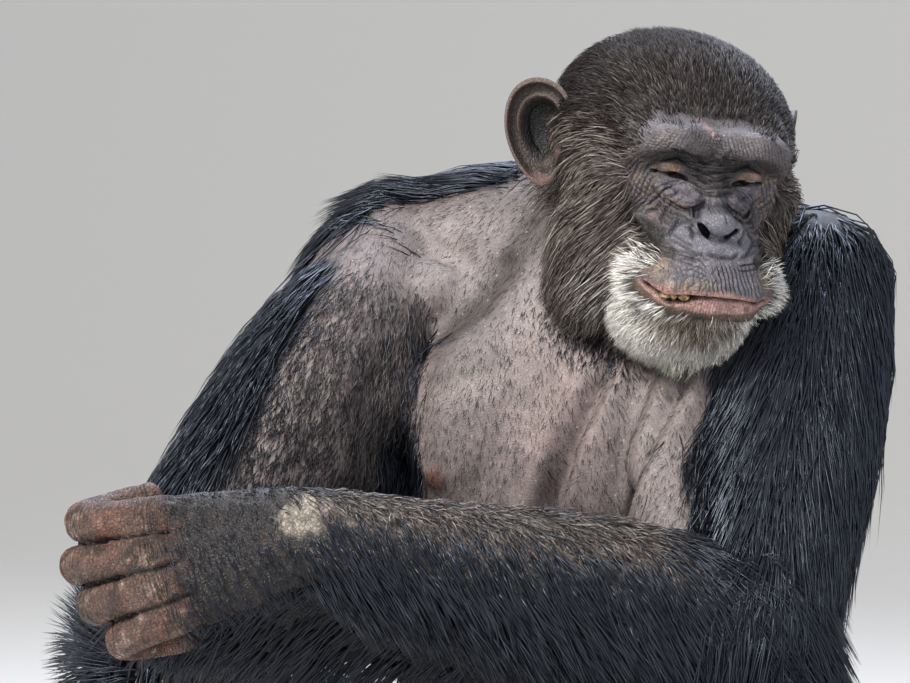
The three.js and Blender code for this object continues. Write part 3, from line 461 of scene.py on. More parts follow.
# Muscles, nipples and the seat, each an egg: place, half sizes, turn
muscles = [
    ((-42, -96, 446), (60, 42, 74), (-8, 0, 14)), ((42, -102, 428), (54, 46, 80), (-6, 0, -8)),
    ((-74, -126, 413), (7.5, 12, 9), (20, 0, 0)), ((60, -140, 386), (6.5, 11, 8), (20, 0, 0)),
    ((-62, 38, 66), (66, 66, 72), (0, 0, 0)), ((62, 38, 66), (66, 66, 72), (0, 0, 0)),
    ((-156, -48, 530), (40, 42, 50), (0, 22, 0)), ((-98, -66, 522), (44, 28, 26), (0, 18, 12)),
    ((-62, -40, 568), (60, 22, 15), (0, 14, -8)),
]
innerArm = makeLimb([(100, -92, 492), (98, -140, 432), (116, -192, 376)], [[30, 34], [33, 36], [34, 34]], forward)
bodyShells = [limbShell(bones[name], 56, 56) for name in bodyBones]
bodyShells.append(limbShell(innerArm, 40, 40))
bodyShells += [eggShell(*muscle) for muscle in muscles]
bodyPoints, bodyQuads = blended("roughBody", bodyShells, 4.6, 6)
bodyPoints[:, 2] = np.maximum(bodyPoints[:, 2], lowest["skin"])
print("body skin", len(bodyPoints))


# Where a point lies on a bone: share along it, turn round it, and how far out it is, 1 on the bone's own surface
def boneSpace(limb, points):
    t = np.linspace(0, 1, 41)
    middle, along, across, out, size = limbFrames(limb, t)
    near = (middle**2).sum(1)[None] - 2 * points @ middle.T
    i = near.argmin(1)
    gap = points - middle[i]
    length = np.linalg.norm(np.diff(middle, axis=0), axis=1).sum()
    ahead = dot(gap, along[i])
    share = np.clip(t[i] + ahead / length, 0, 1)
    beyond = np.where((i == 0) | (i == 40), ahead, 0) / size[i].mean(1)
    x = dot(gap, across[i]) / size[i, 0]
    y = dot(gap, out[i]) / size[i, 1]
    return share, np.arctan2(y, x) / (2 * np.pi) % 1.0, np.sqrt(x**2 + y**2 + beyond**2)


def wayOf(start, end):
    return unit(joints[end] - joints[start])


# The coat by bone: where it grows (1 dense, 0 bare), the way it lies and how long it is, as a value or a function.
# s is the share along the bone, c and d the cosine and sine of the turn round it, n the skin's normal, p the place.
# Back and up
inward = np.array([0.0, 0.87, 0.5])
coatRules = {
    "torso": (
        lambda s, c, d, n, p: np.maximum(fade(n[:, 1], -0.25, 0.3), fade(0.64 - s, 0.0, 0.1)),
        lambda s, c, d, n, p: np.stack([0.3 * np.tanh(p[:, 0] / 80), 0 * s + 0.1, 0 * s - 1], 1),
        0.9),
    "yoke": (
        lambda s, c, d, n, p: fade(n @ inward, 0.3, 0.6),
        lambda s, c, d, n, p: np.stack([np.tanh(p[:, 0] / 30) * fade(150 - p[:, 0], 0, 80), 0 * s + 0.3,
                                        -0.5 - fade(p[:, 0], 80, 140)], 1),
        0.9),
    "neck": (lambda s, c, d, n, p: fade(n[:, 1], -0.3, 0.3), np.array([-0.2, 0.4, -1]), 0.8),
    "upperArmLeft": (
        lambda s, c, d, n, p: fade(-c, -0.75, -0.2),
        down + 0.35 * wayOf("shoulderLeft", "elbowLeft") - np.array([0.16, 0, 0]),
        lambda s, c, d, n, p: 1.15 - 0.35 * s),
    "upperArmRight": (
        lambda s, c, d, n, p: np.maximum(fade(c + 0.2 * d, 0.2, 0.7) * fade(s, 0.14, 0.26), fade(-d, 0.2, 0.7)),
        0.55 * down + wayOf("shoulderRight", "elbowRight"),
        1.0),
    "forearmLeft": (
        lambda s, c, d, n, p: 1 - 0.55 * fade(s, 0.85, 1.0),
        down + 0.75 * wayOf("wristLeft", "elbowLeft"),
        lambda s, c, d, n, p: (0.55 + 0.6 * fade(-c, -0.6, 0.7)) * (1.05 - 0.5 * s)),
    "forearmRight": (
        lambda s, c, d, n, p: 1 - 0.5 * fade(s, 0.85, 1.0),
        0.8 * down + 0.8 * wayOf("wristRight", "elbowRight"),
        0.75),
}
for side in ("Left", "Right"):
    coatRules["thigh" + side] = (1, down + 0.4 * wayOf("hip" + side, "knee" + side), 0.9)
    coatRules["shin" + side] = (
        lambda s, c, d, n, p: 1 - 0.6 * fade(s, 0.85, 1),
        down + 0.6 * wayOf("knee" + side, "ankle" + side),
        lambda s, c, d, n, p: 0.85 - 0.3 * s)


def coatAt(points, normals, names):
    # Each bone's rule, weighed by how close the point is to that bone's surface
    total = np.full(len(points), 1e-9)
    cover = np.zeros(len(points))
    long = np.zeros(len(points))
    lie = np.zeros((len(points), 3))
    nearest = np.full(len(points), 1e9)
    owner = np.zeros(len(points), int)
    place = np.zeros((len(points), 2))
    for k, name in enumerate(names):
        s, v, r = boneSpace(bones[name], points)
        given = s, np.cos(v * 2 * np.pi), np.sin(v * 2 * np.pi), normals, points
        here = [rule(*given) if callable(rule) else rule for rule in coatRules[name]]
        weight = np.exp(-(np.maximum(r - 1, 0) / 0.16) ** 2) + 1e-6 / (0.1 + r)
        total += weight
        cover += weight * here[0]
        lie += weight[:, None] * here[1]
        long += weight * here[2]
        closer = r < nearest
        nearest = np.where(closer, r, nearest)
        owner = np.where(closer, k, owner)
        place = np.where(closer[:, None], np.stack([s, v], 1), place)
    return cover / total, lie / total[:, None], long / total, owner, place


# Skin tones of the body, shared by the coat's cover. The pale tone is painted highlight; the inner, shade, crease
# and under tones are painted shade
bodyTones = {"bare": "#786e6b", "paintedHighlight": "#8d8483", "paintedShadeUnder": "#17171a", "nipple": "#61453c", "low": "#3d3634",
             "inner": "#5e5452", "pink": "#8a7672", "shade": "#3c3432", "arm": "#766b68", "crease": "#1d1716"}
bodyTriangles = trianglesOf(bodyQuads)
bodyNormals = normalsOf(bodyPoints, bodyTriangles)

# Folds in the bare skin of the trunk, in millimetres: how deep, how wide and along which line
bodyFolds = [
    (11, 7, [(38, -144, 484), (31, -147, 464), (19, -148, 438), (7, -146, 402), (0, -140, 380)]),
    (10, 9, [(-108, -80, 488), (-112, -92, 460), (-106, -104, 430), (-96, -108, 400)]),
    (5, 12, [(-40, -86, 556), (-60, -84, 524), (-92, -80, 498)]),
    (11, 6, [(98, -124, 486), (92, -134, 464), (79, -142, 420), (66, -142, 380)]),
    (4, 4, [(104, -112, 470), (100, -126, 440), (92, -132, 404)]),
    (2, 5, [(60, -148, 452), (54, -150, 430), (56, -150, 408)]),
    (2, 10, [(-92, -86, 470), (-60, -108, 476), (-30, -126, 486)]),
]


def foldGap(points, line):
    # How far a point on the front is from a fold, seen from the front: y counts for little
    gap, share = distanceToLine(points * (1, 0.15, 1), np.array(line, float) * (1, 0.15, 1))
    return gap + 99 * (points[:, 1] > -50), share


for deep, wide, line in bodyFolds:
    # A valley deep·e^-(gap / wide)² with a quarter of its depth as a rim beside it
    gap, share = foldGap(bodyPoints, line)
    taper = fade(share, 0, 0.15) * fade(1 - share, 0, 0.15) * 0.7 + 0.3
    bodyPoints -= bodyNormals * (deep * taper * np.exp(-(gap / wide) ** 2))[:, None]
    bodyPoints += bodyNormals * (0.25 * deep * taper * np.exp(-((gap / wide - 2) / 0.8) ** 2))[:, None]
bodyNormals = normalsOf(bodyPoints, bodyTriangles)

# The hairy fold between the right arm and the chest
armpitLine = [(-112, -84, 478), (-118, -100, 452), (-120, -104, 420), (-114, -100, 388)]


def capeAt(points, normals):
    # The mane over the top and back of the right shoulder
    x, y, z = points.T
    over = fade(normals @ inward, -0.18, 0.08) * fade(-x, 40, 62) * fade(normals[:, 2], -0.1, 0.2)
    return over * fade(y + 80, 0, 14) * fade(z + 0.2 * x, 484, 504) * fade(60 - y, 0, 40)


def bodyCoverOf(points, normals):
    cover, lie, long, owner, place = coatAt(points, normals, bodyBones)
    # The front of the right shoulder is bare
    bareFront = fade(-(normals @ inward), 0.12, 0.3) * fade(points[:, 2], 484, 498) * fade(-points[:, 0], 30, 50)
    cover = np.maximum(cover * (1 - bareFront), capeAt(points, normals))
    ragged = cover + 0.22 * softNoise(points, 22, 3) + 0.12 * softNoise(points, 8, 4)
    cover = np.where((cover > 0.02) & (cover < 0.98), ragged, cover)
    gap = distanceToLine(points, armpitLine)[0]
    return np.clip(np.maximum(cover, 1.1 * np.exp(-(gap / 13) ** 2)), 0, 1), lie, long, owner, place


bodyCover = bodyCoverOf(bodyPoints, bodyNormals)[0]


def bodyTone(points, normals, cover):
    x, y, z = points.T
    tone = np.tile(linear(bodyTones["bare"]), (len(points), 1))
    middle = distanceToLine(points, [(30, -100, 520), (8, -146, 448)])[0]
    tone = tinted(tone, bodyTones["pink"], np.exp(-(middle / 42) ** 2) * 0.55)
    # Painted highlight: the upper chest and shoulders are paler where the skin faces up
    tone = tinted(tone, bodyTones["paintedHighlight"], fade(z, 470, 560) * fade(normals[:, 2], -0.3, 0.6) * 0.8)
    # Painted shade: darker where the skin faces down
    tone = tinted(tone, bodyTones["inner"], fade(-normals[:, 2], 0.0, 0.7) * 0.8)
    # Painted shade along the hollow from the neck down to the right armpit
    hollow = [(-14, -62, 600), (-30, -72, 580), (-36, -86, 556), (-52, -92, 524), (-84, -98, 494),
              (-110, -96, 480)]
    tone = tinted(tone, bodyTones["shade"], 0.85 * np.exp(-(foldGap(points, hollow)[0] / 18) ** 2))
    # Painted shade at the top of the neck, next to the head
    tone = tinted(tone, bodyTones["inner"], fade(z, 566, 588) * 0.8)
    # Painted shade by the right armpit
    tone = tinted(tone, bodyTones["inner"], fade(-x, 84, 120) * fade(z, 470, 510) * 0.6)
    armShare, _, armOut = boneSpace(bones["upperArmRight"], points)
    tone = tinted(tone, bodyTones["arm"], fade(armShare, 0.2, 0.4) * fade(1.5 - armOut, 0, 0.3) * 0.9)
    tone = tinted(tone, bodyTones["low"], fade(410 - z, 0, 50) * fade(-y, 60, 90))
    tone = tone * (1 + 0.16 * softNoise(points, 18, 7) + 0.12 * softNoise(points, 6, 8))[:, None]
    # Painted shade darkening each fold
    for deep, wide, line in bodyFolds:
        gap = foldGap(points, line)[0]
        tone = tinted(tone, bodyTones["crease"], min(0.8, deep / 10) * np.exp(-(gap / (0.4 * wide)) ** 2))
    for at in ((-74, -136, 412), (62, -146, 384)):
        gap = np.linalg.norm((points - np.array(at)) * (1, 0.6, 0.85), axis=1)
        tone = tinted(tone, bodyTones["nipple"], fade(9 + softNoise(points, 3, 9) - gap, 0, 3))
    # Painted shade: the skin under the coat is near black
    return tinted(tone, bodyTones["paintedShadeUnder"], fade(cover, 0.1, 0.6))


bodySkin = makeMesh("bodySkin", bodyPoints, [bodyQuads])
setValues(bodySkin, "tone", bodyTone(bodyPoints, bodyNormals, bodyCover))
bodySkin.data.materials.append(bodySkinLook)
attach(bodySkin, "root")
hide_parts("chest", "pelvis", "neck", "thigh_left", "thigh_right", "shin_left", "shin_right",
            "upper_arm_left", "upper_arm_right")


# Hands and feet
handLook = {"palmLength": 98, "fingerGap": 21, "bones": (54, 38, 24), "radii": (12.5, 12.6, 11.6, 9.5),
            "callus": (-84, -326, 406)}


def turnedAbout(vector, axis, degrees):
    # Rodrigues: the vector turned about a unit axis
    a = np.radians(degrees)
    return vector * np.cos(a) + np.cross(axis, vector) * np.sin(a) + axis * (axis @ vector) * (1 - np.cos(a))


def makeDigit(start, heading, hinge, boneLengths, bends, radii):
    spine = [start - heading * 10, start]
    way = heading
    for length, bend in zip(boneLengths, bends):
        way = turnedAbout(way, hinge, bend)
        spine.append(spine[-1] + way * length)
    return makeLimb(spine, [[r * 0.94, r] for r in (radii[0], *radii)], hinge, (0.4, 0.9))


def makeHand(wrist, along, back, across, bends, thumbBends):
    curl = -1 if np.cross(across, along) @ back > 0 else 1
    palm = makeLimb([wrist + along * handLook["palmLength"] * t for t in (0, 0.35, 0.7, 1)],
                    [[30, 22], [36, 19], [41, 17], [42, 14]], back, (0.5, 0.6))
    digits = []
    for k, scale in enumerate((0.94, 1.02, 0.98, 0.84)):
        start = wrist + along * (handLook["palmLength"] - 6 - 5 * abs(k - 1.2))
        start = start + across * handLook["fingerGap"] * (k - 1.5) + back * 2
        radii = [r * (0.92 if k == 3 else 1) for r in handLook["radii"]]
        digits.append(makeDigit(start, unit(along + across * 0.09 * (k - 1.5)), across,
                                [b * scale for b in handLook["bones"]], [b * curl for b in bends], radii))
    heading = unit(along * 0.85 - across * 0.1 - back * 0.5)
    digits.append(makeDigit(wrist + along * 36 - across * 14 - back * 16, heading, across, [26, 24],
                            [b * curl for b in thumbBends], [11, 10.5, 9]))
    return palm, digits


handAlong = {"left": unit(np.array([-0.93, -0.29, -0.23])), "right": unit(np.array([0.86, 0.12, -0.5]))}
handBack = {"left": unit(np.array([0.28, -0.95, 0.1])), "right": unit(np.array([0.36, -0.55, 0.75]))}
handAcross = {"left": unit(np.cross(handBack["left"], handAlong["left"])),
              "right": unit(np.cross(handAlong["right"], handBack["right"]))}
handBack["right"] = unit(handBack["right"] - handAlong["right"] * (handBack["right"] @ handAlong["right"]))
hands = {
    "left": makeHand(joints["wristLeft"], handAlong["left"], handBack["left"], handAcross["left"], (22, 96, 52),
                     (20, 25)),
    "right": makeHand(joints["wristRight"], handAlong["right"], handBack["right"], handAcross["right"],
                      (28, 34, 20), (15, 15)),
}


def makeFoot(ankle, heading, inner):
    def at(ahead, inside, high):
        return np.array([ankle[0], ankle[1], high]) + heading * ahead + inner * inside
    sole = makeLimb([at(-34, 0, 26), at(0, 0, 28), at(45, 1, 24), at(92, 2, 17), at(116, 2, 13)],
                    [[27, 27], [30, 36], [36, 29], [40, 20], [40, 16]], up, (0.8, 0.5))
    turnDown = -1 if np.cross(inner, heading)[2] > 0 else 1
    digits = [makeDigit(at(112 - 5 * abs(k - 0.8), 28 - 19 * k, 17), unit(heading + inner * 0.05 * (1.5 - k)),
                        inner, [b * (0.86 if k == 3 else 1) for b in (26, 20, 13)],
                        [b * turnDown for b in (-8, 26, 22)], (10.5, 10, 9, 8)) for k in range(4)]
    digits.append(makeDigit(at(34, 30, 17), unit(heading * 0.72 + inner * 0.69), inner, (34, 26),
                            [0, 12 * turnDown], (15, 13.5, 11)))
    return sole, digits


feet = {
    "left": makeFoot(joints["ankleLeft"], unit(np.array([0.1, -1, 0])), unit(np.array([-1, -0.1, 0]))),
    "right": makeFoot(joints["ankleRight"], unit(np.array([-0.3, -0.95, 0])), unit(np.array([0.95, -0.3, 0]))),
}

# The crease and under tones are painted shade, the pale tone painted highlight
bareTones = {"bare": "#4d3a32", "back": "#1f1c1d", "crease": "#120d0b", "callus": "#a39a8c", "paintedShadeUnder": "#17171a",
             "sole": "#3b2d28", "knuckle": "#6b5043", "red": "#70493a", "dark": "#211815", "top": "#6b615d",
             "paintedHighlight": "#a08678"}


def digitLines(points, digits):
    # How deep the crease between two digits is, how far along its digit a point lies, and how near it is to one
    spaces = [boneSpace(d, points) for d in digits]
    out = np.array([r for s, v, r in spaces])
    order = np.sort(out, 0)
    crevice = np.exp(-((order[1] - order[0]) / 0.14) ** 2) * fade(1.7 - order[0], 0, 0.4)
    first = out.argmin(0)
    reach = [np.linalg.norm(np.diff(d["spine"], axis=0), axis=1).sum() for d in digits]
    phase = np.choose(first, [s * length / 2.5 for (s, v, r), length in zip(spaces, reach)])
    joint = np.choose(first, [np.exp(-(((s * (len(d["spine"]) - 1) + 0.5) % 1 - 0.5) / 0.24) ** 2)
                              for (s, v, r), d in zip(spaces, digits)])
    return crevice, phase, joint, fade(1.5 - order[0], 0, 0.3)


def bareLimb(name, side, part, forearm, voxel, deep, nodes):
    # A hand with its forearm, or a foot where forearm is None
    palm, digits = part
    shells = [limbShell(palm, 40, 40)] + [limbShell(d, 36, 22) for d in digits]
    if forearm:
        shells.append(limbShell(bones[forearm], 48, 40))
    points, quads = blended(name, shells, voxel * (1), 3)
    if not forearm:
        points[:, 2] = np.maximum(points[:, 2], lowest["skin"])
    triangles = trianglesOf(quads)
    normals = normalsOf(points, triangles)
    crevice, phase, joint, onDigit = digitLines(points, digits)
    rough = softNoise(points, 7, 21) + 0.6 * softNoise(points, 3.5, 22)
    creased = valleys(phase * 2.5 / 6 + 0.3 * rough) * joint * onDigit * (1 - crevice)
    points = points - normals * (4.2 * crevice + 1.1 * creased + deep * rough * (1 - 0.4 * onDigit))[:, None]
    if not forearm:
        points[:, 2] = np.maximum(points[:, 2], lowest["skin"])
    normals = normalsOf(points, triangles)
    tone = np.tile(linear(bareTones["bare"]), (len(points), 1))
    tone = tinted(tone, bareTones["knuckle"], onDigit * 0.6)
    tone = tinted(tone, bareTones["red"], fade(softNoise(points, 14, 23), 0.0, 0.6) * 0.8)
    darker = softNoise(points, 10, 24) + 0.5 * softNoise(points, 4, 25)
    tone = tinted(tone, bareTones["dark"], fade(darker, 0.1, 0.7) * 0.75)
    # Painted highlight: paler patches on the digits, more over the joints
    tone = tinted(tone, bareTones["paintedHighlight"], fade(softNoise(points, 5, 30) + 0.4 * joint, 0.45, 0.9) * onDigit * 0.6)
    # Painted shade in the crevices between the digits
    tone = tinted(tone, bareTones["crease"], crevice)
    lines = onDigit * (0.35 + 0.65 * joint) * (1 - crevice)
    if forearm:
        facing = handBack[side]
        ahead = (points - joints["wrist" + side.capitalize()]) @ handAlong[side]
        ragged = 8 * softNoise(points, 12, 26)
        hairy = fade(normals @ facing, -0.6, 0.1) * fade(94 + ragged - ahead, 0, 30) * (1 - crevice)
        cover = np.maximum(hairy, fade(-ahead, -6, 20))
        tone = tinted(tone, bareTones["back"], hairy * 0.9)
        # Painted shade on the underside of the forearm
        tone = tinted(tone, bareTones["paintedShadeUnder"], fade(-ahead, 10, 70) * fade(-normals[:, 2], -0.9, 0.1))
        tone = tinted(tone, bareTones["top"], fade(-ahead, -4, 20) * fade(normals[:, 2], 0.0, 0.7))
        if side == "left":
            callus = np.linalg.norm((points - handLook["callus"]) / (18, 22, 18), axis=1)
            callus = fade(1.0 + 0.3 * softNoise(points, 9, 27) + 0.15 * softNoise(points, 3, 28) - callus, 0, 0.3)
            crack = np.exp(-((points[:, 0] + 88 + 2 * softNoise(points, 5, 29)) / 0.9) ** 2)
            tone = tinted(tone, bareTones["callus"], callus * (0.85 + 0.25 * softNoise(points, 4, 28)))
            tone = tinted(tone, bareTones["dark"], callus * crack * 0.6)
            cover = cover * (1 - callus)
    else:
        reach = np.linalg.norm(points - joints["ankle" + side.capitalize()], axis=1)
        cover = fade(normals[:, 2], -0.2, 0.3) * fade(70 - reach, 0, 30)
        tone = tinted(tone, bareTones["sole"], fade(-normals[:, 2], 0, 0.5))
        tone = tinted(tone, bareTones["back"], cover)
    piece = makeMesh(name, points, [quads])
    setValues(piece, "tone", tone)
    setValues(piece, "lines", phase)
    setValues(piece, "lined", lines)
    piece.data.materials.append(handSkinLook)
    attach(piece, "root")
    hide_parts(*nodes)
    print(name, len(points))
    return {"points": points, "triangles": triangles, "normals": normals, "cover": cover}


armLeft = bareLimb("armSkinLeft", "left", hands["left"], "forearmLeft", 1.9, 0.9, ("forearm_left", "hand_left"))
armRight = bareLimb("armSkinRight", "right", hands["right"], "forearmRight", 2.6, 0.8,
                    ("forearm_right", "hand_right"))
bareLimb("footSkinLeft", "left", feet["left"], None, 2.6, 0.7, ("foot_left",))
bareLimb("footSkinRight", "right", feet["right"], None, 2.6, 0.7, ("foot_right",))


# The head, in its own frame: x to its left, -y to the front, z up, from halfway between the ear openings
print("head")
headPlace = np.array([65.0, -84.0, 610.0])
headTurn = turnOf((15, 7.5, 36), "zxy")
skullMiddle = np.array([0.0, -32.0, 16.0])
faceAxis = unit(np.array([0.0, -0.94, -0.34]))
eyePlace = np.array([26.0, -70.0, 21.0])
eyeRadius = 10.5


def toWorld(points):
    return points @ headTurn.T + headPlace


# The forms that the head is blended from: an egg or a bar with its radius, and how softly it joins the rest
headForms = [
    {"egg": (0, 4, 24), "size": (74, 78, 59), "soft": 0},
    {"egg": (0, -50, -4), "size": (57, 38, 44), "soft": 18},
    {"egg": (47, -54, 4), "size": (20, 22, 16), "soft": 12, "pair": True},
    {"egg": (0, -90, -36), "size": (47, 46, 33), "soft": 14},
    {"egg": (0, -84, -68), "size": (39, 38, 24), "soft": 12},
    {"egg": (44, -34, -42), "size": (24, 38, 38), "soft": 18, "pair": True},
    {"egg": (0, -40, -40), "size": (46, 50, 36), "soft": 14},
    {"bar": ((0, -64, 38), (38, -56, 38)), "radius": 14, "soft": 12, "pair": True},
    {"bar": ((12, -77, 41), (38, -72, 39)), "radius": 9.2, "soft": 5, "pair": True},
    {"bar": ((0, -82, 39), (26, -88, 42)), "radius": 9.2, "soft": 5, "pair": True},
    {"bar": ((26, -88, 42), (43, -78, 35)), "radius": 8.6, "soft": 5, "pair": True},
    {"bar": ((43, -78, 35), (47, -70, 24)), "radius": 6.5, "soft": 6, "pair": True},
    {"bar": ((0, -78, 20), (0, -101, 3)), "radius": 8.5, "soft": 8},
    {"bar": ((8, -90, 7), (23, -88, -5)), "radius": 8.5, "soft": 8, "pair": True},
    {"bar": ((12, -98, 1), (26, -100, -14)), "radius": 7, "soft": 8, "pair": True},
    {"egg": (0, -113.5, -0.5), "size": (11.5, 11.5, 9.5), "soft": 2},
    {"egg": (14, -109, -5), "size": (7, 9, 8.5), "soft": 3, "pair": True},
    {"egg": eyePlace, "size": (13.1, 13.1, 13.1), "soft": 3, "pair": True},
    {"bar": ((0, -132, -38), (24, -127, -40)), "radius": 7, "soft": 7, "pair": True},
    {"bar": ((24, -127, -40), (42, -108, -42)), "radius": 6, "soft": 7, "pair": True},
    {"bar": ((0, -131, -52), (24, -125, -52)), "radius": 6.5, "soft": 6, "pair": True},
    {"bar": ((24, -125, -52), (42, -106, -48)), "radius": 5.5, "soft": 6, "pair": True},
]


def headDistance(p):
    # The smooth union of the forms: below 0 inside the head, above 0 outside
    d = None
    for form in headForms:
        q = p.copy()
        if form.get("pair"):
            q[..., 0] = np.abs(q[..., 0])
        if "bar" in form:
            a, b = np.array(form["bar"], float)
            t = np.clip((q - a) @ (b - a) / ((b - a) @ (b - a)), 0, 1)
            this = np.linalg.norm(q - a - t[..., None] * (b - a), axis=-1) - form["radius"]
        else:
            q = q - np.array(form["egg"], float)
            size = np.array(form["size"], float)
            near = np.linalg.norm(q / size, axis=-1)
            far = np.linalg.norm(q / size**2, axis=-1)
            this = near * (near - 1) / np.maximum(far, 1e-9)
        if d is None:
            d = this
            continue
        close = np.maximum(form["soft"] - np.abs(d - this), 0) / form["soft"]
        d = np.minimum(d, this) - close**2 * form["soft"] / 4
    return d


def headSurface(direction):
    # Steps along each ray from the middle of the skull until the distance is gone
    reach = np.full(direction.shape[:-1], 40.0)
    for _ in range(46):
        d = headDistance(skullMiddle + direction * reach[..., None])
        reach = np.where(d > -0.02, reach, reach - 0.85 * d)
    return skullMiddle + direction * reach[..., None]


# Two directions across the axis of the face
faceSide = unit(np.cross(faceAxis, np.array([0.0, 0.0, 1.0])))
faceUp = np.cross(faceSide, faceAxis)
headRows, headSides = ((240, 400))


def headRays(u, v):
    # Rings round the axis of the face, close together over the muzzle and wide apart over the back of the skull
    wide = np.pi * (0.45 * u + 0.1 * u**2 + 0.45 * u**3)
    a = v * 2 * np.pi
    ring = np.cos(a)[..., None] * faceSide + np.sin(a)[..., None] * faceUp
    return np.cos(wide)[..., None] * faceAxis + np.sin(wide)[..., None] * ring


headPoints, headQuads, headEnds = closedShell(headRows, headSides, lambda u, v: headSurface(headRays(u, v)))
headTriangles = np.vstack([trianglesOf(headQuads), headEnds])
headNormals = normalsOf(headPoints, headTriangles)
print("head skin", len(headPoints))

# Lines of the face, in millimetres as (x, z) seen from the front: how deep, how wide, and mirrored or not
faceLines = [
    {"line": [(-36, 24), (-30, 27), (-23, 29), (-17, 26), (-12, 22)], "deep": 1.6, "wide": 1.3, "both": True},
    {"line": [(-38, 28), (-30, 32), (-22, 33), (-14, 29)], "deep": 1.3, "wide": 1.3, "both": True},
    {"line": [(-31, 6), (-25, 2.5), (-19, 2), (-14, 5), (-11, 10)], "deep": 1.6, "wide": 1.4, "both": True},
    {"line": [(-31, 11), (-24, 8), (-17, 9), (-13, 12)], "deep": 0.9, "wide": 1.1, "both": True},
    {"line": [(-38, 3), (-28, -2), (-20, -2), (-13, 2), (-6, 8), (-2, 12)], "deep": 1.7, "wide": 1.4, "both": True},
    {"line": [(-36, -1), (-27, -5), (-19, -4), (-12, 1)], "deep": 1.2, "wide": 1.2, "both": True},
    {"line": [(-4, 11), (-10, 7), (-16, 2), (-22, -5), (-27, -11), (-30, -16)], "deep": 2.6, "wide": 1.7,
     "both": True},
    {"line": [(-14, 29), (-6, 27), (0, 30), (6, 28), (14, 30)], "deep": 1.4, "wide": 1.2},
    {"line": [(-15, 24), (-7, 22), (1, 24), (8, 24), (15, 26)], "deep": 1.3, "wide": 1.2},
    {"line": [(-15, 20), (-6, 18.5), (0, 20), (8, 20), (14, 21)], "deep": 1.4, "wide": 1.2},
    {"line": [(-16, 16), (-8, 15), (-1, 16.5), (8, 17), (15, 16)], "deep": 1.3, "wide": 1.2},
    {"line": [(-15, 12), (-9, 12.5), (-1, 13), (9, 14), (15, 12)], "deep": 1.4, "wide": 1.2},
    {"line": [(-7, 40), (-4, 34), (-5, 30)], "deep": 1.2, "wide": 1.5, "both": True},
    {"line": [(-34, -6), (-28, -8), (-22, -5), (-17, 0)], "deep": 1.2, "wide": 1.2, "both": True},
    {"line": [(-35, -10), (-29, -12), (-24, -9)], "deep": 1.1, "wide": 1.1, "both": True},
    {"line": [(-41, -14), (-33, -13), (-26, -14)], "deep": 1.3, "wide": 1.3, "both": True},
    {"line": [(-47, -14), (-41, -19), (-35, -23), (-29, -22), (-26, -18)], "deep": 3.2, "wide": 3.0, "both": True},
    {"line": [(-30, -12), (-22, -14), (-15, -16)], "deep": 1.0, "wide": 1.1},
    {"line": [(-31, -15), (-22, -16.5), (-14, -19.5), (-8, -18.5)], "deep": 1.1, "wide": 1.1},
    {"line": [(-27, -21), (-20, -19.5), (-12, -20)], "deep": 0.9, "wide": 1.0},
    {"line": [(-25, -24), (-17, -23), (-9, -21)], "deep": 0.8, "wide": 1.0},
    {"line": [(17, -19), (24, -14), (31, -10)], "deep": 1.3, "wide": 1.2},
    {"line": [(14, -19), (22, -17), (31, -15.5)], "deep": 1.0, "wide": 1.1},
    {"line": [(-9, -18), (0, -19), (9, -19), (15, -16)], "deep": 1.2, "wide": 1.3},
    {"line": [(-1, 11), (1, 5), (3, 0)], "deep": 0.9, "wide": 0.8},
    {"line": [(-14, 1), (-10, 5.5), (0, 8.5), (10, 6), (14, 1)], "deep": 1.2, "wide": 1.6},
    {"line": [(-17, -3), (-18, -8), (-14, -13)], "deep": 1.5, "wide": 1.7, "both": True},
    {"line": [(-40, 54), (-28, 52), (-18, 55), (0, 54), (18, 55), (28, 52), (40, 54)], "deep": 1.0, "wide": 2.0},
]
front = fade(-headPoints[:, 1], 30, 50)
faceXZ = headPoints[:, [0, 2]]


def carved(amount):
    global headPoints, headNormals
    headPoints = headPoints - headNormals * amount[:, None]
    headNormals = normalsOf(headPoints, headTriangles)


creaseMap = np.zeros(len(headPoints))
depthMap = np.zeros(len(headPoints))
for item in faceLines:
    for sign in ((1, -1) if item.get("both") else (1,)):
        line = np.array(item["line"], float) * (sign, 1)
        gap, share = distanceToLine(faceXZ, line)
        taper = fade(share, 0, 0.18) * fade(1 - share, 0, 0.18) * 0.85 + 0.15
        mark = taper * np.exp(-(gap / item["wide"]) ** 2) * front
        depthMap = np.maximum(depthMap, item["deep"] * mark)
        creaseMap = np.maximum(creaseMap, mark * min(1.0, item["deep"] / 1.4))
        depthMap -= 0.22 * item["deep"] * taper * np.exp(-((gap - 2.1 * item["wide"]) / item["wide"]) ** 2) * front
carved(depthMap)

# Upright wrinkles over the upper lip, fine ones across the lower lip, and lines along the brow
x, y, z = headPoints.T
lipLine = {"x": [-42, -36, -30, -14, 0, 16, 30, 43], "z": [-43.5, -46.5, -48.5, -45.3, -43.6, -44.3, -45.5, -46.5]}
lipZ = np.interp(x, lipLine["x"], lipLine["z"])
broad = softNoise(headPoints, 9, 31)
small = softNoise(headPoints, 4, 32)
tiny = softNoise(headPoints, 2, 33)
upperLip = front * fade(z - lipZ, 2, 7) * fade(-17 - z, 0, 4) * fade(38 - np.abs(x), 0, 8)
lowerLip = front * fade(lipZ - z, 0, 2) * fade(z + 60, 0, 5) * fade(40 - np.abs(x), 0, 8)
browZ = np.interp(np.abs(x), [0, 15, 35, 50], [41, 43, 41, 32])
onBrow = front * fade(9 - np.abs(z - browZ), 0, 5) * fade(52 - np.abs(x), 0, 8)
padOutline = [(-30, 11), (5, 11), (14, 6), (22, -1), (29, -10), (31, -17), (22, -20), (10, -19), (-30, -19)]


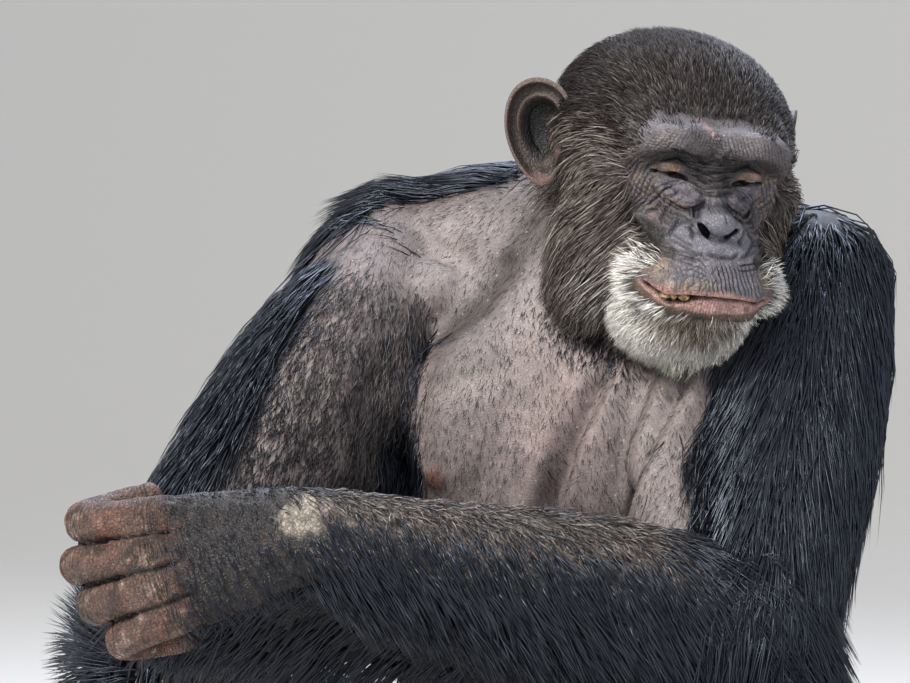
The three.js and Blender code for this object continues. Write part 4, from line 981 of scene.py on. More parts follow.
def insideOutline(points, outline):
    # Signed distance to a closed outline, above 0 inside
    outline = np.asarray(outline, float)
    best = np.full(len(points), 1e9)
    inside = np.zeros(len(points), bool)
    for a, b in zip(outline, np.roll(outline, -1, 0)):
        way = b - a
        t = np.clip((points - a) @ way / (way @ way), 0, 1)
        best = np.minimum(best, np.linalg.norm(points - a - t[:, None] * way, axis=1))
        crosses = (a[1] > points[:, 1]) != (b[1] > points[:, 1])
        slope = a[0] + (points[:, 1] - a[1]) * way[0] / (way[1] if way[1] else 1e-9)
        inside ^= crosses & (points[:, 0] < slope)
    return np.where(inside, best, -best)


padGap = -insideOutline(np.stack([np.abs(x), z], 1), padOutline)
onPad = fade(-padGap, -1, 2) * front
# Families of wrinkles: how far across the lines a point is in turns, where they are, and how deep
underEye = np.hypot((np.abs(x) - 24) / 1.2, z - 20)
cheekFold = (fade(padGap, 1.5, 3) * fade(15 - padGap, 0, 5) * fade(z + 13, 0, 5) * fade(40 - np.abs(x), 0, 6)
             * fade(np.abs(x) - 1.2 * z, 8, 14))
wrinkleSets = [
    (underEye / 3.0 + 0.3 * broad, fade(underEye, 14, 16) * fade(30 - underEye, 0, 8) * fade(12 - z, -4, 6)
     * fade(z + 16, 0, 8) * (1 - cheekFold), 1.1),
    (underEye / 2.2 + 0.4 * small, fade(underEye, 5, 7) * fade(13 - underEye, 0, 2) * fade(16 - z, 0, 3), 0.5),
    (padGap / 2.9 + 0.35 * broad + 0.15 * small, cheekFold * fade(14 - z, 0, 4), 1.6),
    (z / 2.1 + 0.5 * broad + 0.25 * small, fade(17 - np.abs(x), 0, 5) * fade(z, 10, 13) * fade(40 - z, 0, 5), 1.0),
    (z / 3.1 + 0.5 * broad + 0.2 * small - 0.03 * np.abs(x), fade(np.abs(x), 12, 17) * fade(38 - np.abs(x), 0, 7)
     * fade(-10 - z, -3, 3) * fade(z + 30, 0, 6) * fade(padGap, -1, 2), 1.3),
    (z / 3.0 + 0.7 * small + 0.3 * broad, fade(np.abs(x), 4, 9) * fade(34 - np.abs(x), 0, 6) * fade(-18 - z, 0, 3)
     * fade(z + 36, 0, 5) * (x < 2), 0.7),
    ((0.93 * x + 0.36 * z) / 2.7 + 0.4 * broad + 0.2 * small, upperLip * fade(-21 - z, 0, 4) * fade(x, -14, 2), 0.9),
    (x / 3.4 + 0.9 * small + 0.4 * broad, upperLip * fade(-22 - z, 0, 5) * fade(6 - x, 0, 8), 0.6),
    (x / 2.0 + 0.3 * broad + 0.2 * small, lowerLip * 0.8, 0.4),
    (x / 2.4 + z / 6 * np.sign(x) + 0.35 * small, onBrow * fade(tiny + 0.8, 0, 0.8), 0.9),
    (z / 2.0 + 0.35 * small + 0.2 * broad, onBrow * fade(broad, -0.4, 0.3), 0.8),
    (np.abs(x) / 3.0 + z / 8 + 0.6 * broad + 0.2 * small, fade(np.abs(x), 32, 38) * fade(56 - np.abs(x), 0, 6)
     * fade(z + 14, 0, 8) * fade(34 - z, 0, 8), 0.9),
]
total = np.zeros(len(x))
for phase, where, deep in wrinkleSets:
    mark = valleys(phase) * where * front * (1 - 0.95 * onPad)
    total = np.maximum(total, deep * mark)
    creaseMap = np.maximum(creaseMap, mark * min(1.0, deep))
# A pouch under each eye, with a crease round its lower rim
pouch = np.hypot((np.abs(x) - 21) / 12.5, (z - 9.5) / 7.5)
pouchRim = np.exp(-((pouch - 1.12) / 0.1) ** 2) * fade(10 - z, 0, 5) * front
creaseMap = np.maximum(creaseMap, pouchRim)
carved(total + 0.35 * front * small * (1 - onPad) + 1.5 * pouchRim - 1.8 * fade(1.1 - pouch, 0, 0.4) * front)

# The slit between the lids, the line of the mouth with the gap by the side teeth, and the nostrils
x, y, z = headPoints.T
slit = np.zeros(len(x))
for side in (1, -1):
    along = (x * side - 26) / 11.5
    slitZ = 17.6 - 1.2 * along**2 + 0.4 * along
    opening = 1.5 * np.sqrt(np.clip(1 - along**2, 0, 1))
    slit = np.maximum(slit, front * fade(opening + 0.45 - np.abs(z - slitZ), 0, 0.9) * (np.abs(along) < 1))
mouthEdge = fade(43 - np.abs(x), 0, 3)
toothGap = np.exp(-(((x + 23) / 9) ** 2))
gape = 0.7 + 2.0 * toothGap
mouth = front * fade(-y, 70, 90) * mouthEdge * fade(gape + 0.9 - np.abs(z - lipZ + 1.2 * toothGap), 0, 1.2)
nostrils = np.zeros(len(x))
for side in (1, -1):
    # Slanted ovals, from the inner lower end to the outer upper one
    ahead = 0.72 * (x * side - 9.8) + 0.69 * (z + 6)
    aside = 0.69 * (x * side - 9.8) - 0.72 * (z + 6)
    gap = np.hypot(ahead / (3.8 if side > 0 else 5.2), aside / (1.5 if side > 0 else 1.8))
    nostrils = np.maximum(nostrils, fade(1.3 - gap, 0, 0.7) * front * fade(-y, 92, 102))
# The groove under the ball of the nose, from one nostril to the other
ballGroove = np.exp(-((np.hypot(x / 1.15, z + 0.5) - 10.2) / 1.5) ** 2) * fade(-3 - z, 0, 4) * fade(-y, 100, 108)
creaseMap = np.maximum(creaseMap, 0.7 * ballGroove)
carved(4.2 * slit + (5 + 4 * toothGap) * mouth + 5.5 * nostrils + 1.6 * ballGroove)

# Bare face, in (x, z): inside the outline the skin is bare
faceOutline = [(0, 53), (22, 54), (38, 50), (50, 42), (51, 28), (47, 10), (43, -2), (39, -12), (38, -20),
               (33, -26), (33, -31), (40, -37), (45, -42), (44, -49), (36, -54), (22, -57), (0, -57)]
faceOutline = faceOutline + [(-a, b) for a, b in faceOutline[-2:0:-1]]
bareFace = insideOutline(faceXZ, faceOutline) + 3 * softNoise(headPoints, 7, 34)
bareFace = np.where(headPoints[:, 1] < -20, bareFace, -20)
headCover = fade(-bareFace, -4, 6)
# The white beard: in front of an edge that runs back from the cheeks to under the chin
paleEdge = {"z": [-84, -73, -61, -43, -28, -20], "y": [-60, -69, -75, -95, -103, -106]}
paleZone = fade(np.interp(headPoints[:, 2], paleEdge["z"], paleEdge["y"]) - headPoints[:, 1]
                + 3 * softNoise(headPoints, 8, 35), -4, 6) * fade(-headPoints[:, 2], 20, 36)

# The socket, cheek hollow, crease, nostril, mouth and under tones are painted shade
headTones = {"face": "#625a5c", "forehead": "#4d4648", "brow": "#6c6567", "socket": "#221d1c", "lid": "#8f7263",
             "bag": "#67606a", "bagEdge": "#9c8270", "pad": "#787680", "upperLip": "#746f77", "lip": "#bf948b",
             "muzzleSide": "#9b8674", "cheekHollowShade": "#171210", "beardSkin": "#6b5a4b", "side": "#3d3633",
             "crease": "#15110f", "scar": "#a58783", "nostril": "#0d0a0a", "mouth": "#170c0a", "paintedShadeUnder": "#2c2624",
             "tan": "#9a8370", "spot": "#5d4238"}


def headTone(p):
    x, y, z = p.T
    ax = np.abs(x)
    tone = np.tile(linear(headTones["face"]), (len(p), 1))
    tone = tinted(tone, headTones["forehead"], fade(z, 48, 60))
    tone = tinted(tone, headTones["brow"], onBrow)
    cheek = fade(ax, 30, 38) * fade(58 - ax, 0, 8) * fade(z + 16, 0, 8) * fade(34 - z, 0, 8) * front
    tone = tinted(tone, headTones["tan"], cheek * fade(small + 0.6 * tiny, -0.1, 0.6) * 0.6)
    # Painted shade in the eye sockets under the brow
    socket = np.exp(-(((ax - 25) / 20) ** 2 + ((z - 27) / 8) ** 2)) * front
    tone = tinted(tone, headTones["socket"], socket * 1.15)
    lid = fade(1 - np.hypot((ax - 26) / 10.5, (z - 21.2) / 4.2), 0, 0.5) * front
    tone = tinted(tone, headTones["lid"], lid * (0.75 + 0.5 * small))
    tone = tinted(tone, headTones["bag"], fade(1.1 - pouch, 0, 0.3) * fade(16 - z, 0, 3) * front)
    bagEdge = np.exp(-((pouch - 0.88) / 0.09) ** 2) * fade(8 - z, 0, 4) * front
    tone = tinted(tone, headTones["bagEdge"], bagEdge * 0.9)
    tone = tinted(tone, headTones["upperLip"], upperLip)
    tone = tinted(tone, headTones["pad"], onPad)
    side = fade(1 - np.hypot((ax - 38) / 13, (z + 29) / 13), 0, 0.6) * front * (1 - onPad)
    aboveLip = upperLip * fade(lipZ + 14 - z, 0, 6) * fade(4 - x, 0, 14)
    tone = tinted(tone, headTones["muzzleSide"], np.maximum(side, aboveLip) * (0.75 + 0.4 * small))
    # Painted shade in the hollow beside the muzzle
    hollow = fade(1 - np.hypot((ax - 38) / 12, (z + 18 + 0.2 * (ax - 38)) / 8), 0, 0.6) * front * (1 - onPad)
    tone = tinted(tone, headTones["cheekHollowShade"], hollow)
    lipUp = np.interp(x, [-44, -34, -26, -14, -4, 3, 16, 27, 36, 44],
                      [-42, -41.5, -41.5, -40, -39, -38, -39.5, -42, -43, -44.5]) + 0.8 * small
    lipLow = np.interp(x, [-44, -34, -20, -2, 19, 36, 44], [-45, -52, -55, -54, -53, -50, -48]) + 0.6 * small
    lips = fade(lipUp - z, -1.5, 1.5) * fade(z - lipLow, -1, 1.5) * fade(46 - ax, 0, 3) * front * fade(-y, 75, 90)
    tone = tinted(tone, headTones["lip"], lips * 0.9)
    tone = tinted(tone, headTones["spot"], lips * fade(small + tiny, 0.5, 0.9) * 0.8)
    # Painted shade on the skin under the hair, more towards the back
    tone = tinted(tone, headTones["paintedShadeUnder"], headCover * fade(y, -90, -40) * 0.8)
    jaw = np.maximum(headCover * paleZone, fade(lipLow - z, -1, 1.5) * front * fade(-y, 75, 90))
    tone = tinted(tone, headTones["beardSkin"], jaw)
    tone = tinted(tone, headTones["side"], fade(headCover, 0.5, 1) * (1 - jaw) * 0.75)
    scar = fade(1 - np.hypot((x + 7 + 0.9 * (z - 48)) / 4, (z - 48) / 4.5), 0, 0.5) * front
    tone = tinted(tone, headTones["scar"], scar * (0.7 + 0.5 * tiny))
    tone = tone * (1 + (0.14 * broad + 0.16 * small + 0.1 * tiny) * (1 - 0.7 * onPad))[:, None]
    # Painted shade in the wrinkles and folds
    tone = tinted(tone, headTones["crease"], creaseMap * 0.9)
    # Painted shade in the nostrils
    tone = tinted(tone, headTones["nostril"], nostrils)
    # Painted shade in the gap of the mouth
    tone = tinted(tone, headTones["mouth"], mouth)
    # Painted shade in the slit between the lids
    return tinted(tone, headTones["nostril"], slit)


headSkin = makeMesh("headSkin", toWorld(headPoints), [headQuads, headEnds])
setValues(headSkin, "tone", headTone(headPoints))
headSkin.data.materials.append(faceSkinLook)
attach(headSkin, "root")
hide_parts("head")

# Eyes: smooth balls, wet and dark
eyeLook, _, eyeShader = newMaterial("wetEye")
eyeShader.inputs["Base Color"].default_value = (*linear("#1b0f0a"), 1)
eyeShader.inputs["Roughness"].default_value = 0.12
eyeShader.inputs["Coat Weight"].default_value = 1.0
for side, sign in (("left", 1), ("right", -1)):
    points, quads, ends = eggShell(eyePlace * (sign, 1, 1), (eyeRadius,) * 3, rows=30, sides=36)
    eye = makeMesh("eyeball_" + side, toWorld(points), [quads, ends])
    eye.data.materials.append(eyeLook)
    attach(eye, "root")
    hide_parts("eye_" + side)

# Teeth: three worn, stained ones in the gap of the lips
enamel, enamelTree, enamelShader = newMaterial("wornEnamel")
enamelNoise = addNode(enamelTree, "ShaderNodeTexNoise", {"Scale": 400.0, "Detail": 4},
                      {"Vector": addNode(enamelTree, "ShaderNodeTexCoord").outputs["Object"]}).outputs["Fac"]
enamelStops = {"stops": [(0.35, "#4a3a22"), (0.55, "#a58a58"), (0.75, "#cdbd92")]}
enamelTree.links.new(addNode(enamelTree, "ShaderNodeValToRGB", enamelStops, {"Fac": enamelNoise}).outputs[0],
                     enamelShader.inputs["Base Color"])
enamelShader.inputs["Roughness"].default_value = 0.28
teethShells = [eggShell(at, size, (0, 0, turn), 14, 16) for at, size, turn in (
    ((-28, -124.6, -48), (3.6, 3.2, 2.5), -32), ((-23.6, -127.6, -47.0), (2.4, 3.0, 2.8), -28),
    ((-17.6, -129.6, -46.6), (3.8, 3.2, 2.5), -20))]
points, quads, ends = joinShells(teethShells)
teeth = makeMesh("teethRow", toWorld(points), [quads, ends])
teeth.data.materials.append(enamel)
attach(teeth, "root")
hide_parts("teeth")

# Ears: a bowl drawn out to an oval, with a rolled rim and folds inside
earLook = {"place": {1: (80, 14, 10), -1: (86, 10, 11)}, "halfWidth": 22, "halfHeight": 34,
           "flare": {1: 66, -1: 36}}
earTones = {"back": "#3a302c", "rim": "#66574f", "fold": "#54463e", "inside": "#352a26", "conchaShade": "#070505",
            "lobe": "#6b554d"}
# Bumps inside the cup as shares of its half width and half height: place, spread and height in millimetres
earBumps = [((-0.7, -0.34), 0.2, 7.0), ((-0.3, -0.62), 0.18, 4.0), ((-0.55, 0.3), 0.22, 2.5)]


def earPlan(u, v):
    # A profile of radius and height from the back's middle over the rim to the cup's middle, carried round an
    # outline that is wide at the top and drawn in and forward to the lobe at the bottom
    profile = np.array([(0, -18), (0.3, -17), (0.6, -13.5), (0.84, -8.0), (0.97, -2.6), (1.01, 0.8), (1.0, 2.4),
                        (0.95, 2.6), (0.9, 0.4), (0.8, -3.0), (0.66, -4.4), (0.5, -8.6), (0.34, -12.6), (0, -13.6)],
                       float)
    p = curveThrough(profile, u)
    a = v * 2 * np.pi
    radius = np.maximum(p[..., 0], 0)
    tall = radius * np.sin(a)
    wide = radius * np.cos(a) * (1 + 0.26 * np.sin(a)) - 0.24 * np.minimum(tall, 0) ** 2
    cup = (u > 0.58) * 1.0
    fold = np.exp(-((radius - 0.66) / 0.07) ** 2) * cup * fade(np.cos(a - 1.2), -0.3, 0.6)
    bumps = sum(high * np.exp(-((wide - at[0]) ** 2 + (tall - at[1]) ** 2) / spread**2)
                for at, spread, high in earBumps) * cup
    return wide, tall, p[..., 1] + 3.0 * fold + bumps, radius, cup, fold, bumps


def earSurface(u, v):
    wide, tall, high, *rest = earPlan(u, v)
    return np.stack([wide * earLook["halfWidth"], -high, tall * earLook["halfHeight"]], -1)


for side, sign in (("left", 1), ("right", -1)):
    points, quads, ends = closedShell(70, 84, earSurface)
    u = np.concatenate([[0], np.repeat(np.arange(1, 70) / 70, 84), [1]])
    v = np.concatenate([[0], np.tile(np.arange(84) / 84, 69), [0]])
    wide, tall, high, radius, cup, fold, bumps = earPlan(u, v)
    # The rim is paler pinkish grey: its own colour, partly painted highlight
    tone = tinted(np.tile(linear(earTones["back"]), (len(points), 1)), earTones["rim"], fade(radius, 0.88, 0.96))
    # Painted shade: the cup darker inside and the concha near black
    tone = tinted(tone, earTones["inside"], cup * fade(0.93 - radius, 0, 0.05))
    tone = tinted(tone, earTones["conchaShade"], cup * fade(0.66 - radius, 0, 0.12))
    # The fold and the bumps inside are paler: their own colour, partly painted highlight
    tone = tinted(tone, earTones["fold"], np.maximum(fold, fade(bumps, 1, 5)))
    tone = tinted(tone, earTones["lobe"], fade(-tall, 0.72, 0.9))
    points = points * (sign, 1, 1) @ turnOf((0, sign * 6, sign * earLook["flare"][sign]), "zxy").T
    points = points + np.array(earLook["place"][sign]) * (sign, 1, 1)
    if sign < 0:
        quads, ends = quads[:, ::-1], ends[:, ::-1]
    ear = makeMesh("ear_skin_" + side, toWorld(points), [quads, ends])
    setValues(ear, "tone", tone)
    ear.data.materials.append(faceSkinLook)
    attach(ear, "root")
    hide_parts("ear_" + side)


# The coat: solid tapered tufts
def drawRoots(points, triangles, normals, weights, count, seed):
    # Places on the skin, drawn by area times weight: a + (b - a)·r + (c - a)·s
    draw = np.random.default_rng(seed)
    a, b, c = (points[triangles[:, i]] for i in range(3))
    area = np.linalg.norm(np.cross(b - a, c - a), axis=1) * weights[triangles].mean(1)
    pick = draw.choice(len(triangles), count, p=area / area.sum())
    r, s = draw.random(count), draw.random(count)
    fold = r + s > 1
    r, s = np.where(fold, 1 - r, r)[:, None], np.where(fold, 1 - s, s)[:, None]
    corners = triangles[pick]
    n = [normals[corners[:, i]] for i in range(3)]
    return a[pick] + (b - a)[pick] * r + (c - a)[pick] * s, unit(n[0] * (1 - r - s) + n[1] * r + n[2] * s)


def nearestOf(points, others):
    # Which of the others is nearest to each point, a block of points at a time
    points, others = np.float32(points), np.float32(others)
    squares = (others**2).sum(1)[None]
    return np.concatenate([(squares - 2 * points[k:k + 2000] @ others.T).argmin(1)
                           for k in range(0, len(points), 2000)])


# Points of the whole skin, spread out, that the tufts lie on
skins = [(bodyPoints, bodyNormals, 6500), (armLeft["points"], armLeft["normals"], 2200),
         (armRight["points"], armRight["normals"], 1500), (toWorld(headPoints), headNormals @ headTurn.T, 3400)]
guidePoints = np.vstack([p[::max(1, len(p) // count)] for p, n, count in skins])
guideNormals = np.vstack([n[::max(1, len(p) // count)] for p, n, count in skins])


def tuftCurves(roots, normals, lies, long, look, draw):
    # Each ring is one step further along the lie, with sag and a small wave. The part of a step that would go into
    # the nearest skin is left out, and the ring is pushed out to long·rise·(2t - t²) above that skin, so a tuft
    # follows the skin while it can and hangs free past its edge. One that leaves too high is drawn back in a little.
    n, rings = len(roots), look["rings"]
    length = long * (look["long"][0] + (look["long"][1] - look["long"][0]) * draw.random(n))
    rise = look["rise"] * (0.5 + draw.random(n))
    phase = draw.random(n) * 6.28
    side = unit(np.cross(unit(lies), normals) + 1e-6)
    lies = unit(unit(lies) + side * draw.normal(0, look["stray"], n)[:, None])
    path = [roots - normals * look["sink"]]
    facing = normals
    for ring in range(1, rings + 1):
        t = ring / rings
        way = lies + down * look["sag"] * t + side * (look["wave"] * np.sin(t * 5 + phase))[:, None]
        way = way - facing * np.minimum(dot(way, facing), 0)[:, None]
        point = path[-1] + unit(way) * (length / rings)[:, None]
        near = nearestOf(point, guidePoints)
        facing = guideNormals[near]
        short = length * rise * (2 * t - t**2) - dot(point - guidePoints[near], facing)
        drawn = -0.6 * length / rings * fade(0.5 - dot(lies, facing), 0, 0.35)
        path.append(point + facing * np.maximum(short, np.maximum(0.8 * short, drawn))[:, None])
    path = np.stack(path, 1)
    if look["clump"] > 0:
        seeds = draw.choice(n, max(2, n // look["perClump"]), replace=False)
        mine = seeds[nearestOf(roots, roots[seeds])]
        gap = np.linalg.norm(roots - roots[mine], axis=1)
        pull = look["clump"] * np.exp(-(gap / look["clumpSize"]) ** 2)
        path += (path[mine] - path) * pull[:, None, None] * np.linspace(0, 1, rings + 1)[None, :, None] ** 1.2
    return path


def makeCoat(name, roots, normals, lies, long, tone, uv, look, material, seed):
    # Each tuft is a closed blade of three rails round its curve, which narrows to a point
    draw = np.random.default_rng(seed)
    path = tuftCurves(roots, normals, lies, long, look, draw)
    path[..., 2] = np.maximum(path[..., 2], lowest["hair"])
    n, rings = len(roots), look["rings"]
    t = np.linspace(0, 1, rings + 1)
    along = unit(np.gradient(path, axis=1))
    side = unit(np.cross(along, normals[:, None] + 1e-3))
    over = np.cross(side, along)
    wide = look["wide"] * (0.75 + 0.5 * draw.random(n)) * np.sqrt(np.clip(long, 0.2, 1.1))
    wide = wide[:, None, None] * (1 - t**look["taper"])[None, :, None]
    rails = np.stack([path + side * wide * 0.5, path - side * wide * 0.5, path + over * wide * 0.55], 2)
    points = np.concatenate([rails[:, :rings].reshape(n, -1, 3), path[:, -1:]], 1)
    size = 3 * rings + 1
    quads = [(3 * i + k, 3 * i + (k + 1) % 3, 3 * i + 3 + (k + 1) % 3, 3 * i + 3 + k)
             for i in range(rings - 1) for k in range(3)]
    tips = [(3 * rings - 3 + k, 3 * rings - 3 + (k + 1) % 3, 3 * rings) for k in range(3)]
    start = (np.arange(n) * size)[:, None, None]
    quads = (np.array(quads)[None] + start).reshape(-1, 4)
    triangles = (np.array([(0, 2, 1)] + tips)[None] + start).reshape(-1, 3)
    piece = makeMesh(name, points.reshape(-1, 3), [quads, triangles])
    share = np.tile(np.append(np.repeat(t[:rings], 3), 1.0), n)
    setValues(piece, "share", share)
    setValues(piece, "shade", np.repeat(draw.random(n), size))
    setValues(piece, "tone", np.repeat(tone, size, axis=0))
    patch = np.stack([share, np.tile(np.append(np.tile([0, 1, 0.5], rings), 0.5), n)], 1) * 0.003
    place = np.repeat(uv, size, axis=0) * 0.99 + 0.002 + patch
    loops = np.concatenate([quads.ravel(), triangles.ravel()])
    layer = piece.data.uv_layers.new(name="OFBake")
    layer.uv.foreach_set("vector", place[loops].astype(np.float32).ravel())
    piece.data.materials.append(material)
    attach(piece, "root")
    print(name, n, "tufts", len(quads) * 2 + len(triangles), "triangles")


thin = 1.0
coatTones = {"black": "#17181d", "brown": "#2b2420", "white": "#e4e2dc", "chin": "#6d5638", "mossy": "#a3a075",
             "grey": "#6b625c", "greyPale": "#938b84", "fuzz": "#221d1b", "crown": "#2a2422"}
x, y, z = bodyPoints.T
bodyOwner = coatAt(bodyPoints, bodyNormals, bodyBones)[3]


def onBones(*names):
    return np.isin(bodyOwner, [bodyBones.index(n) for n in names]) * 1.0


dense = fade(bodyCover, 0.08, 0.6)
onCape = capeAt(bodyPoints, bodyNormals)
onKnee = np.exp(-(np.linalg.norm(bodyPoints - joints["kneeRight"], axis=1) / 75) ** 4) * fade(-x, 255, 285)
underJaw = np.exp(-(distanceToLine(bodyPoints, [(4, -100, 522), (22, -118, 508), (44, -126, 496)])[0] / 14) ** 2)
frontArm = onBones("upperArmRight") * fade(boneSpace(bones["upperArmRight"], bodyPoints)[0], 0.16, 0.32)
seen = fade(bodyNormals @ np.array([0.34, -0.94, 0.1]), -0.5, 0.0)
longHair = {"long": (56, 92), "wide": 1.6, "rise": 0.09, "sag": 0.2, "wave": 0.1, "stray": 0.14, "rings": 3,
            "sink": 1.0, "taper": 2.2, "clump": 0.6, "perClump": 13, "clumpSize": 9}
fineHair = {"long": (5, 9), "wide": 0.38, "rise": 0.12, "sag": 0.1, "wave": 0.05, "stray": 0.3, "rings": 2,
            "sink": 0.4, "taper": 2.0, "clump": 0.0}
coats = [
    {"name": "backHair", "where": dense * onBones("torso", "yoke", "neck") * (1 - onCape), "count": 5200, "seed": 1,
     "look": {**longHair, "wide": 2.8, "clumpSize": 14}},
    {"name": "upperArmHairLeft", "where": dense * onBones("upperArmLeft"), "count": 8900, "seed": 2,
     "look": {**longHair, "long": (70, 112), "rise": 0.035}},
    {"name": "upperArmHairRight", "where": dense * onBones("upperArmRight") * (1 - onCape), "count": 5000,
     "seed": 3, "look": {**longHair, "long": (46, 80), "rise": 0.1}},
    {"name": "capeHair", "where": onCape, "count": 4200, "seed": 6, "lie": "cape",
     "look": {**longHair, "long": (48, 88), "wide": 1.5, "rise": 0.1, "stray": 0.12}},
    {"name": "armpitHair", "where": np.exp(-(distanceToLine(bodyPoints, armpitLine)[0] / 20) ** 2), "count": 1400,
     "seed": 7, "lie": "hang", "look": {**longHair, "long": (50, 85), "rise": 0.15}},
    {"name": "throatHair", "where": underJaw, "count": 900, "seed": 13, "lie": "hang",
     "look": {**fineHair, "long": (14, 26), "wide": 0.8, "rings": 3, "rise": 0.15}},
    {"name": "thighHair", "where": dense * onBones("thighLeft", "thighRight"), "count": 4000, "seed": 4,
     "look": {**longHair, "long": (48, 84), "wide": 2.8, "clumpSize": 14}},
    {"name": "kneeHair", "where": onKnee, "count": 1800, "seed": 8, "lie": "knee",
     "look": {**longHair, "long": (38, 60), "wide": 1.5, "rise": 0.3}},
    {"name": "shinHair", "where": dense * onBones("shinLeft", "shinRight"), "count": 3000, "seed": 5,
     "look": {**longHair, "long": (42, 76), "wide": 2.6, "clumpSize": 12}},
    {"name": "armFuzzRight", "where": frontArm * (1 - dense) * seen, "count": 7000, "seed": 9, "tone": "fuzz",
     "look": {**fineHair, "long": (9, 16), "wide": 0.55}},
    {"name": "bodyFuzz", "where": (1 - dense) * (1 - frontArm) * seen * fade(z, 340, 370), "count": 8500,
     "seed": 10, "tone": "fuzz", "look": {**fineHair, "wide": 0.28}},
]
coatWays = {
    "cape": lambda p: np.stack([0 * p[:, 0] - 1, 0 * p[:, 0] + 0.12, -0.05 - 1.3 * fade(-p[:, 0], 120, 185)], 1),
    "knee": lambda p: np.stack([0 * p[:, 0] - 0.6, 0 * p[:, 0] - 0.1, fade(p[:, 2], 270, 310) - 0.2], 1),
    "hang": lambda p: np.stack([0 * p[:, 0] - 0.05, 0 * p[:, 0] - 0.1, 0 * p[:, 0] - 1], 1),
}
for coat in coats:
    roots, normals = drawRoots(bodyPoints, bodyTriangles, bodyNormals, coat["where"] + 1e-12,
                               int(coat["count"] * thin), coat["seed"])
    cover, lie, long, owner, place = bodyCoverOf(roots, normals)
    if "lie" in coat:
        lie = coatWays[coat["lie"]](roots)
    fine = coat["look"]["rings"] == 2
    tiles = np.stack([(owner % 3 + place[:, 0]) / 3, (owner // 3 + place[:, 1]) / 3], 1)
    tone = np.tile(linear(coatTones[coat.get("tone", "black")]), (len(roots), 1))
    greyish = fade(np.random.default_rng(coat["seed"]).random(len(roots)), 0.7, 1.0)
    tone = tinted(tone, coatTones["greyPale"], greyish * (0.5 if fine else 0.0))
    if coat["name"] == "upperArmHairRight":
        tone = tinted(tone, coatTones["grey"], fade(place[:, 0], 0.75, 0.95) * greyish * 1.2)
        long = long * (1 - 0.4 * fade(place[:, 0], 0.8, 0.98))
    long = np.ones(len(roots)) if fine else long * (0.45 + 0.55 * fade(cover, 0.1, 0.6))
    makeCoat(coat["name"], roots, normals, lie, long, tone, tiles, coat["look"], blackHair, seed=coat["seed"])

for name, arm, bone, side, count, seed in (
        ("forearmHairLeft", armLeft, "forearmLeft", "left", 8600, 11),
        ("forearmHairRight", armRight, "forearmRight", "right", 2400, 12)):
    ahead = (arm["points"] - joints["wrist" + side.capitalize()]) @ handAlong[side]
    onTop = fade(arm["normals"][:, 2], 0.42, 0.8) * fade(-ahead, 6, 24) * fade(235 + ahead, 0, 40)
    roots, normals = drawRoots(arm["points"], arm["triangles"], arm["normals"], arm["cover"] * (1 - 0.93 * onTop)
                               + 1e-9, int(count * thin), seed)
    cover, lie, long, owner, place = coatAt(roots, normals, [bone])
    onHand = fade((roots - joints["wrist" + side.capitalize()]) @ handAlong[side], -14, 14)
    handLie = 0.9 * down - 0.55 * handAlong[side] + 0.2 * handBack[side]
    lie = lie * (1 - onHand[:, None]) + handLie * onHand[:, None]
    long = long * (1 - 0.72 * onHand)
    tone = np.tile(linear(coatTones["black"]), (len(roots), 1))
    makeCoat(name, roots, normals, lie, long, tone, place, {**longHair, "long": (48, 88)}, blackHair, seed=seed)
    # Short grey-brown hair along the top of the forearm
    roots, normals = drawRoots(arm["points"], arm["triangles"], arm["normals"], onTop + 1e-9,
                               int(count * 0.45 * thin), seed + 20)
    cover, lie, long, owner, place = coatAt(roots, normals, [bone])
    shade = np.random.default_rng(seed).random(len(roots))
    tone = tinted(np.tile(linear(coatTones["brown"]), (len(roots), 1)), coatTones["greyPale"], fade(shade, 0.2, 1))
    makeCoat(name.replace("Hair", "Fuzz"), roots, normals, lie, np.ones(len(roots)), tone, place,
             {**fineHair, "long": (9, 17), "wide": 0.7}, greyHair, seed=seed + 20)

# Guides for the lie of the head's hair: place, direction and length factor, mirrored
headGuides = [
    ((0, -70, 62), (0, 0.5, 1), 0.36), ((30, -72, 56), (0.5, 0.6, 0.7), 0.38), ((0, -20, 83), (0, 1, 0.1), 0.62),
    ((50, -62, 46), (0.6, 0.8, 0.2), 0.42), ((60, -40, 30), (0.2, 1, -0.25), 0.6),
    ((56, -58, 5), (0.2, 0.9, -0.8), 0.7), ((62, -30, -5), (0.1, 0.55, -1), 0.95),
    ((58, -40, -40), (0.15, 0.35, -1), 1.15), ((50, -70, -25), (0.4, 0.5, -1), 0.7),
    ((70, 20, 20), (0, 0.8, -0.8), 0.8), ((0, 80, 20), (0, 0.3, -1), 1.25), ((40, 60, -10), (0, 0.3, -1), 1.25),
    ((46, -92, -50), (0.75, 0.2, -0.75), 0.72), ((30, -100, -76), (0.4, -0.1, -1), 0.85),
    ((0, -114, -74), (0, -0.25, -1), 0.8), ((0, -84, -92), (0, 0.1, -1), 1.0),
    ((44, -104, -34), (0.8, 0.3, -0.5), 0.5),
]


def headLie(p):
    lie = np.zeros_like(p)
    long = np.zeros(len(p))
    total = np.full(len(p), 1e-9)
    for place, way, reach in headGuides:
        for sign in (1, -1):
            gap = np.linalg.norm(p - np.array(place) * (sign, 1, 1), axis=1)
            weight = np.exp(-(gap / 24) ** 2) + 1e-4 / (1 + gap)
            lie += weight[:, None] * np.array(way) * (sign, 1, 1)
            long += weight * reach
            total += weight
    return lie, long / total


